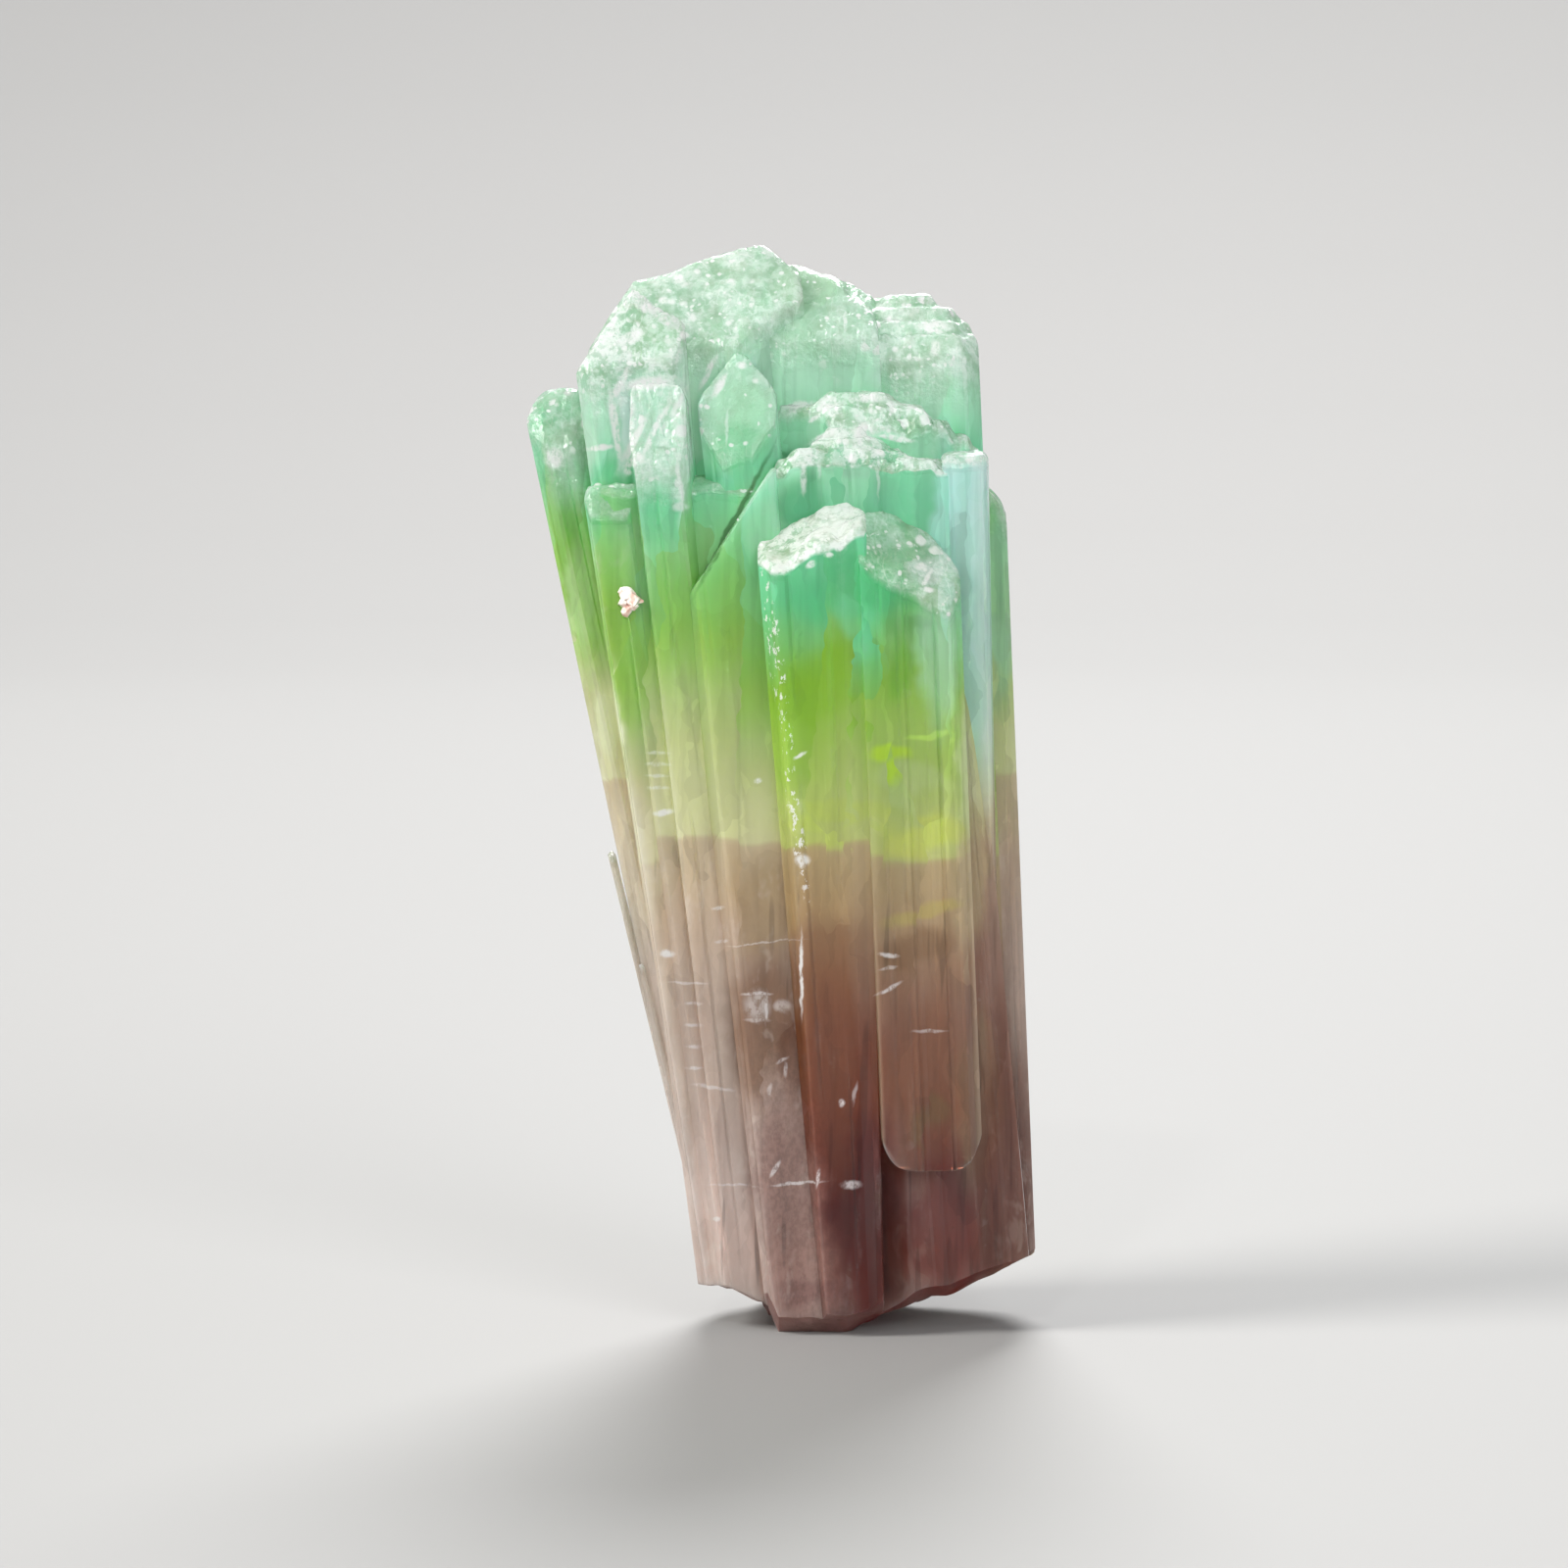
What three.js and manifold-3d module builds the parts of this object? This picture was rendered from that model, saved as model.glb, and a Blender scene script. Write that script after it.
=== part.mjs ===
// Tricolor tourmaline: a cluster of striated prisms that grew side by side on one lattice, fanning
// out upward, each with its own etched cap, on a broken foot. Millimetres, +Z up, front towards -Y.
import * as THREE from "three";
import { mergeVertices } from "three/addons/utils/BufferGeometryUtils.js";
import Module from "manifold-3d";

const wasm = await Module();
wasm.setup();

// ---- driving dimensions ----
const clusterHeight = 62;
const ribPitch = 0.85; // width of one striation rib round a prism
const ribDepth = 0.26; // how far the deepest panel falls back
const ribsInPanel = 3; // ribs that lie at one depth
const capPitch = 0.8; // spacing of the rings that carry a cap's ledges
const etchHeight = 0.6; // swing of the etched lumps on a cap, and of the finer ones on them
const fineEtchHeight = 0.3;
const etchWidth = 1.7; // width of one etched lump, and of a finer one
const fineEtchWidth = 0.9;
const rootLevel = -3; // the prisms start below the broken foot, which then trims them
const standShift = [0.1, -0.29]; // brings the middle of the whole outline over the origin

// The side faces of a prism, as [azimuth in degrees, distance from the axis over the half width].
// Most crystals are rounded trigonal prisms: three broad faces and six narrow ones.
const trigonalFaces = [
  [-90, 0.93], [30, 0.93], [150, 0.93],
  [-60, 1], [-120, 1], [0, 1], [60, 1], [120, 1], [180, 1],
];
// The ones that show as flat panels have a broad front, square or with a narrow bevel at a corner.
const slabFaces = [[-90, 1], [0, 1], [180, 1], [90, 1], [45, 1.2], [135, 1.2]];
const leftCornerFaces = [...slabFaces, [-138, 1.24]];
const rightCornerFaces = [...slabFaces, [-42, 1.24]];
const panelFaces = [...leftCornerFaces, [-42, 1.24]];

// ---- the crystals, from the tallest down ----
// foot and head are [x, y] of the axis at z = 0 and at the height of the peak, footSize and
// headSize the half widths along x and y there. peak is the place of the peak from the axis.
// Each cap face is [azimuth, slope, distance from the peak where it starts to fall], and rough is
// how deeply the cap is etched, where that isn't 1.
const crystals = [
  {
    name: "tallest", top: clusterHeight, foot: [0.4, 1], head: [-5.2, 2.2],
    footSize: [4.7, 5.2], headSize: [6.3, 6.6], peak: [3.4, -0.6], rough: 0.4,
    cap: [[-93, 48, 0.5], [180, 18, 0], [176, 57, 5.3], [0, 40, 0.6], [-50, 52, 2.4],
      [95, 27, 1], [35, 36, 2]],
  },
  {
    name: "shoulder", top: 60.9, foot: [5, 1.4], head: [1.5, 1.9],
    footSize: [3.2, 4.2], headSize: [3.9, 4.8], peak: [-1.3, 0], rough: 0.7,
    cap: [[0, 19, 0], [0, 34, 4.6], [-90, 48, 1], [-40, 36, 1.8], [90, 27, 1], [180, 12, 0]],
    faces: leftCornerFaces,
  },
  {
    name: "upper right", top: 59.3, foot: [10.3, 1.8], head: [7.5, 1.3],
    footSize: [3.4, 3.2], headSize: [3.55, 3.9], peak: [-0.1, 0], rough: 0.8,
    cap: [[-90, 42, 0.6], [180, 10, 0.4], [0, 29, 0.3], [0, 50, 1.6], [-38, 44, 1.4],
      [90, 30, 0.4], [-150, 30, 1.5]],
    faces: rightCornerFaces,
  },
  {
    name: "left front", top: 59.5, foot: [-3, -1.3], head: [-8.75, -2.6],
    footSize: [1.8, 2.6], headSize: [3.2, 2.7], peak: [0.15, -0.6], rough: 0.35,
    cap: [[-95, 66, 0], [49, 62, 0], [180, 56, 0]], faces: panelFaces,
  },
  {
    name: "left dome", top: 55.7, foot: [3, -1.6], head: [-2.7, -4],
    footSize: [1.6, 1.8], headSize: [2.25, 2.2], peak: [0.1, 0], rough: 0.3,
    cap: [[-90, 71, 0], [180, 52, 0.3], [0, 50, 0.3]],
  },
  {
    name: "left ice", top: 54.2, foot: [-1.9, -2.6], head: [-7.2, -4.8],
    footSize: [1.3, 2.2], headSize: [1.75, 2], peak: [0.2, -0.5],
    cap: [[-92, 72, 0], [180, 22, 0.3], [0, 35, 0.5]], faces: panelFaces,
  },
  {
    name: "small left", top: 53.8, foot: [-2.5, -0.2], head: [-12.95, -1.4],
    footSize: [1.6, 2.2], headSize: [1.85, 2.6], peak: [0.3, 0.2], rough: 0.8,
    cap: [[-90, 50, 0.2], [180, 16, 0.3], [178, 62, 1.5], [0, 8, 0.4], [90, 40, 0.5]],
  },
  {
    name: "second back", top: 53.7, foot: [8.6, -0.4], head: [5.1, -0.8],
    footSize: [4.9, 4], headSize: [6.1, 4.4], peak: [-1.6, -2.1],
    cap: [[-90, 50, 0.6], [180, 14, 0.2], [180, 60, 3.2], [0, 12, 0.8], [0, 34, 2.8],
      [-35, 40, 3.6]],
  },
  {
    name: "second front", top: 52.1, foot: [7, -1.6], head: [4.1, -3.3],
    footSize: [3.8, 3.4], headSize: [5.1, 3.2], peak: [-1, -0.9], rough: 0.9,
    cap: [[-90, 48, 0.2], [180, 36, 0], [0, 24, 0], [0, 34, 3.8], [90, 50, 0.5]],
    faces: slabFaces,
  },
  {
    name: "back right", top: 50.8, foot: [4.6, 2.9], head: [1.8, 5.6],
    footSize: [3.8, 3.1], headSize: [4.8, 3.6], peak: [0.4, 0.3],
    cap: [[90, 30, 0.4], [-30, 24, 0], [-150, 24, 0], [30, 46, 2], [150, 46, 2]],
  },
  {
    name: "left terrace", top: 48.9, foot: [-3.1, -2], head: [-9.9, -4.2],
    footSize: [1.3, 2.2], headSize: [1.5, 2.1], peak: [0.3, -1], rough: 0.9,
    cap: [[-92, 60, 0], [180, 25, 0.3], [0, 12, 0.4]], faces: panelFaces,
  },
  {
    name: "blade", top: 50.3, foot: [12, -2], head: [10.05, -4.7],
    footSize: [0.7, 1.2], headSize: [1.45, 1.9], peak: [0, 0], rough: 0.5,
    cap: [[-90, 12, 0.4], [0, 16, 0.6], [180, 8, 0.6]], faces: rightCornerFaces,
  },
  {
    name: "centre strip", top: 49.3, foot: [1.1, -3.3], head: [-3.1, -4.15],
    footSize: [2.1, 3], headSize: [2.6, 2.7], peak: [2.3, 0], rough: 0.3,
    cap: [[180, 57, 0]], faces: leftCornerFaces,
  },
  {
    name: "left body", top: 49.2, foot: [-0.3, -1.9], head: [-5.8, -3],
    footSize: [3.6, 2.9], headSize: [5.2, 3.2], peak: [0.5, 0], rough: 0.8,
    cap: [[-90, 20, 0], [180, 5, 0], [0, 5, 0]], faces: panelFaces,
  },
  {
    name: "right rear", top: 49, foot: [11.5, 0.4], head: [9.5, 0.9],
    footSize: [3.2, 3.8], headSize: [3.25, 4.6], peak: [0.6, 0], rough: 0.8,
    cap: [[-90, 30, 1.6], [0, 42, 0.6], [0, 66, 2.1], [90, 34, 1.6]],
  },
  {
    name: "front left", top: 47.4, foot: [3.9, -2.9], head: [1.55, -4.7],
    footSize: [1.95, 3.9], headSize: [3.15, 4.4], peak: [1.5, -1.4], rough: 0.8,
    cap: [[-115, 40, 0], [180, 27, 0.3], [0, 24, 0.5], [90, 30, 0.5]], faces: leftCornerFaces,
  },
  {
    name: "front right", top: 47.2, root: 9.6, foot: [8.6, -2.9], head: [6.9, -4.5],
    footSize: [2.95, 4.1], headSize: [3, 4.6], peak: [-0.5, -1], rough: 0.7,
    cap: [[-66, 55, 0.3], [0, 50, 0.4], [180, 14, 0.5], [90, 34, 0.6]],
    faces: rightCornerFaces,
  },
  {
    name: "back left", top: 47, foot: [-0.3, 2.4], head: [-7.4, 4.7],
    footSize: [3.2, 2.8], headSize: [4.3, 3.5], peak: [-0.4, 0.3],
    cap: [[90, 30, 0.4], [-30, 24, 0], [-150, 24, 0], [150, 46, 2]],
  },
  {
    name: "right body", top: 43, foot: [9.5, -1.7], head: [6.4, -2.5],
    footSize: [5.1, 4.7], headSize: [4.4, 4.6], peak: [0, 0],
    cap: [[-90, 27, 0], [30, 27, 0], [150, 27, 0]],
  },
  {
    name: "back step", top: 41.5, foot: [9, 2.7], head: [7.9, 4.8],
    footSize: [3.4, 2.5], headSize: [3.6, 2.9], peak: [0, 0],
    cap: [[90, 27, 0.4], [-30, 27, 0], [-150, 27, 0], [30, 46, 1.8]],
  },
];

// ---- numbers that repeat the same way each time ----
function hash(i, j, seed) {
  const wave = Math.sin(i * 127.1 + j * 311.7 + seed * 74.7) * 43758.5453;
  return wave - Math.floor(wave);
}

function smoothStep(t) {
  return t * t * (3 - 2 * t);
}

function rise(value, from, to) {
  return smoothStep(THREE.MathUtils.clamp((value - from) / (to - from), 0, 1));
}

// Lumps from 0 to 1 over a plane, one wide per unit.
function lumps(x, y, seed) {
  const i = Math.floor(x);
  const j = Math.floor(y);
  const u = smoothStep(x - i);
  const v = smoothStep(y - j);
  const near = THREE.MathUtils.lerp(hash(i, j, seed), hash(i + 1, j, seed), u);
  const far = THREE.MathUtils.lerp(hash(i, j + 1, seed), hash(i + 1, j + 1, seed), u);
  return THREE.MathUtils.lerp(near, far, v);
}

// ---- one crystal ----
function sectionReach(faces, angle) {
  const reaches = faces.map(([azimuth, distance]) => {
    const lean = Math.cos(angle - THREE.MathUtils.degToRad(azimuth));
    return lean > 0.2 ? distance / lean : Infinity;
  });
  return Math.min(...reaches);
}

function capDrop(crystal, x, y) {
  const peakX = crystal.head[0] + crystal.peak[0];
  const peakY = crystal.head[1] + crystal.peak[1];
  const drops = crystal.cap.map(([azimuth, slope, start]) => {
    const turn = THREE.MathUtils.degToRad(azimuth);
    const away = (x - peakX) * Math.cos(turn) + (y - peakY) * Math.sin(turn);
    return Math.tan(THREE.MathUtils.degToRad(slope)) * (away - start);
  });
  return Math.max(0, ...drops);
}

// A lathed column of one unit radius, whose rings are moved out to the crystal's section: the
// bottom two points of the profile make the foot, and the rest the rings of the cap.
function crystalGeometry(crystal, seed) {
  const { foot, head, footSize, headSize, top } = crystal;
  const root = crystal.root ?? rootLevel;
  const faces = crystal.faces ?? trigonalFaces;
  const ribs = Math.round((Math.PI * (headSize[0] + headSize[1])) / ribPitch);
  const rings = Math.max(2, Math.round(Math.min(...headSize) / capPitch));
  const profile = [new THREE.Vector2(0, 0), new THREE.Vector2(1, 0)];
  for (let ring = 0; ring <= rings; ring++) {
    profile.push(new THREE.Vector2(1 - ring / rings, 1));
  }
  const geometry = new THREE.LatheGeometry(profile, ribs);
  geometry.name = crystal.name;
  const position = geometry.attributes.position;
  for (let k = 0; k < position.count; k++) {
    const across = Math.hypot(position.getX(k), position.getZ(k));
    const angle = Math.atan2(position.getX(k), position.getZ(k));
    const isCap = position.getY(k) === 1;
    const rib = Math.round((angle / (2 * Math.PI)) * ribs + ribs) % ribs;
    const fallBack = ribDepth * hash(Math.floor(rib / ribsInPanel), 0, seed);
    const reach = sectionReach(faces, angle);
    const share = isCap ? 1 : root / top;
    const halfX = THREE.MathUtils.lerp(footSize[0], headSize[0], share);
    const halfY = THREE.MathUtils.lerp(footSize[1], headSize[1], share);
    const axisX = THREE.MathUtils.lerp(foot[0], head[0], share);
    const axisY = THREE.MathUtils.lerp(foot[1], head[1], share);
    const x = axisX + across * (halfX * reach - fallBack) * Math.cos(angle);
    const y = axisY + across * (halfY * reach - fallBack) * Math.sin(angle);
    const lump = etchHeight * (lumps(x / etchWidth, y / etchWidth, seed) - 0.5)
      + fineEtchHeight * (lumps(x / fineEtchWidth, y / fineEtchWidth, seed + 30) - 0.5);
    const etch = (crystal.rough ?? 1) * lump;
    const cornerLift = crystal.root ? 2.2 * Math.abs((x - axisX) / halfX) ** 5 : 0;
    const level = isCap ? Math.min(top, top - capDrop(crystal, x, y) + etch) : root + cornerLift;
    position.setXYZ(k, x, y, level);
  }
  return geometry;
}

// ---- the broken foot ----
// A central lobe whose lowest part is flat at z = 0, a raised lobe on the left, and the right
// side snapped off higher and higher.
const footBlock = { width: 36, depth: 28, thickness: 6, pitch: 0.8, lump: 0.5 };

function footLevel(x, y) {
  const rightStart = THREE.MathUtils.lerp(3.5, 5.2, rise(y, -4, 2));
  const right = Math.max(0, x - rightStart) * 0.4;
  const leftStart = THREE.MathUtils.lerp(0.3, 1.1, rise(y, -3, 2));
  const left = 1.8 * rise(-x, leftStart, leftStart + 0.9) + 0.16 * Math.max(0, -x - 0.6);
  const back = 0.45 * Math.max(0, y - 4.2);
  const frontRim = 0.6 * Math.max(0, -4.6 - y);
  const lump = footBlock.lump * (lumps(x / 1.6, y / 1.6, 50) - 0.74);
  return Math.max(0, right + left + back + frontRim + lump);
}

function footGeometry() {
  const { width, depth, thickness, pitch } = footBlock;
  const geometry = new THREE.BoxGeometry(
    width, depth, thickness, Math.round(width / pitch), Math.round(depth / pitch), 1,
  );
  geometry.translate(5, 0, -thickness / 2);
  const position = geometry.attributes.position;
  for (let k = 0; k < position.count; k++) {
    if (position.getZ(k) > -thickness / 2) {
      position.setZ(k, footLevel(position.getX(k), position.getY(k)));
    }
  }
  return geometry;
}

// ---- slivers grown along the left edge, each standing a little off at its top ----
const slivers = [
  { top: 27.4, root: 9, foot: [-3.67, -1.2], head: [-9.97, -1.3], size: [0.36, 0.7] },
  { top: 21, root: 6, foot: [-3.75, -1.7], head: [-8.2, -1.8], size: [0.4, 0.6] },
  { top: 44.6, root: 30, foot: [-3.74, -1.3], head: [-12.75, -1.5], size: [0.4, 0.8] },
];

// ---- the grain of feldspar on the left flank ----
const grain = { centre: [-9.05, -5.25, 41.5], radius: 0.78, lump: 0.3 };

function grainGeometry() {
  const geometry = new THREE.IcosahedronGeometry(grain.radius, 2);
  const position = geometry.attributes.position;
  const point = new THREE.Vector3();
  for (let k = 0; k < position.count; k++) {
    point.fromBufferAttribute(position, k);
    const swell = lumps(point.x * 2.2 + 9, point.y * 2.2 + point.z * 2.9, 60) - 0.5;
    point.multiplyScalar(1 + 2 * grain.lump * swell);
    position.setXYZ(k, point.x, point.y, point.z);
  }
  geometry.translate(...grain.centre);
  return geometry;
}

// ---- solids ----
function toSolid(geometry) {
  geometry.deleteAttribute("normal");
  geometry.deleteAttribute("uv");
  const welded = mergeVertices(geometry);
  const mesh = new wasm.Mesh({
    numProp: 3,
    vertProperties: new Float32Array(welded.attributes.position.array),
    triVerts: new Uint32Array(welded.index.array),
  });
  return new wasm.Manifold(mesh);
}

function toGeometry(solid) {
  const { vertProperties, triVerts } = solid.getMesh();
  const geometry = new THREE.BufferGeometry();
  geometry.setAttribute("position", new THREE.BufferAttribute(vertProperties, 3));
  geometry.setIndex(new THREE.BufferAttribute(triVerts, 1));
  geometry.computeVertexNormals();
  return geometry;
}

function sliverCrystal({ top, root, foot, head, size }) {
  const shape = { footSize: size, headSize: size, peak: [0, 0], cap: [[0, 30, 0]] };
  return { name: "sliver", top, root, foot, head, ...shape };
}

const solids = [...crystals, ...slivers.map(sliverCrystal)].map((crystal, index) =>
  toSolid(crystalGeometry(crystal, index + 1)));
const grown = [...solids, toSolid(grainGeometry())].reduce((joined, solid) => joined.add(solid));
const cluster = grown.subtract(toSolid(footGeometry()));

const tourmaline = new THREE.Mesh(
  toGeometry(cluster),
  new THREE.MeshStandardMaterial({ color: "#7fae7e", roughness: 0.2, metalness: 0 }),
);
tourmaline.name = "tourmaline";
tourmaline.position.set(...standShift, 0);

const part = new THREE.Group();
part.add(tourmaline);

export default part;
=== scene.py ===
import math

import bmesh
import bpy
import numpy as np
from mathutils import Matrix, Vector
from mathutils.bvhtree import BVHTree
from mathutils.geometry import delaunay_2d_cdt


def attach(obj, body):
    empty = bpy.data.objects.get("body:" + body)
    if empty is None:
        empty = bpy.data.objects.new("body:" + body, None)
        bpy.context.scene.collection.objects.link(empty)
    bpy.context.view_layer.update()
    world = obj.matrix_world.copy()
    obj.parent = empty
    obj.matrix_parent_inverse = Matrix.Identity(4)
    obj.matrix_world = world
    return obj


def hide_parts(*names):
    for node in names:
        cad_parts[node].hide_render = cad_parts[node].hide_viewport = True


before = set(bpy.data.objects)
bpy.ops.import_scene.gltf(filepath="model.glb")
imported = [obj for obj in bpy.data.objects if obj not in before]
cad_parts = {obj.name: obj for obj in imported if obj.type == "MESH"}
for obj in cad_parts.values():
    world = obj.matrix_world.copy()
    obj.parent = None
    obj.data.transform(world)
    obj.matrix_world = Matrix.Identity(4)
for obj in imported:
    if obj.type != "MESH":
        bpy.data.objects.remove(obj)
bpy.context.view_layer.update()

mm = 0.001

# side faces of a prism: azimuth in degrees, distance from the axis over the half width
trigonalFaces = [(-90, 0.93), (30, 0.93), (150, 0.93),
                 (-60, 1), (-120, 1), (0, 1), (60, 1), (120, 1), (180, 1)]
slabFaces = [(-90, 1), (0, 1), (180, 1), (90, 1), (45, 1.2), (135, 1.2)]
panelFaces = slabFaces + [(-42, 1.24), (-138, 1.24)]
leftCornerFaces = slabFaces + [(-138, 1.24)]
rightCornerFaces = slabFaces + [(-42, 1.24)]

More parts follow.
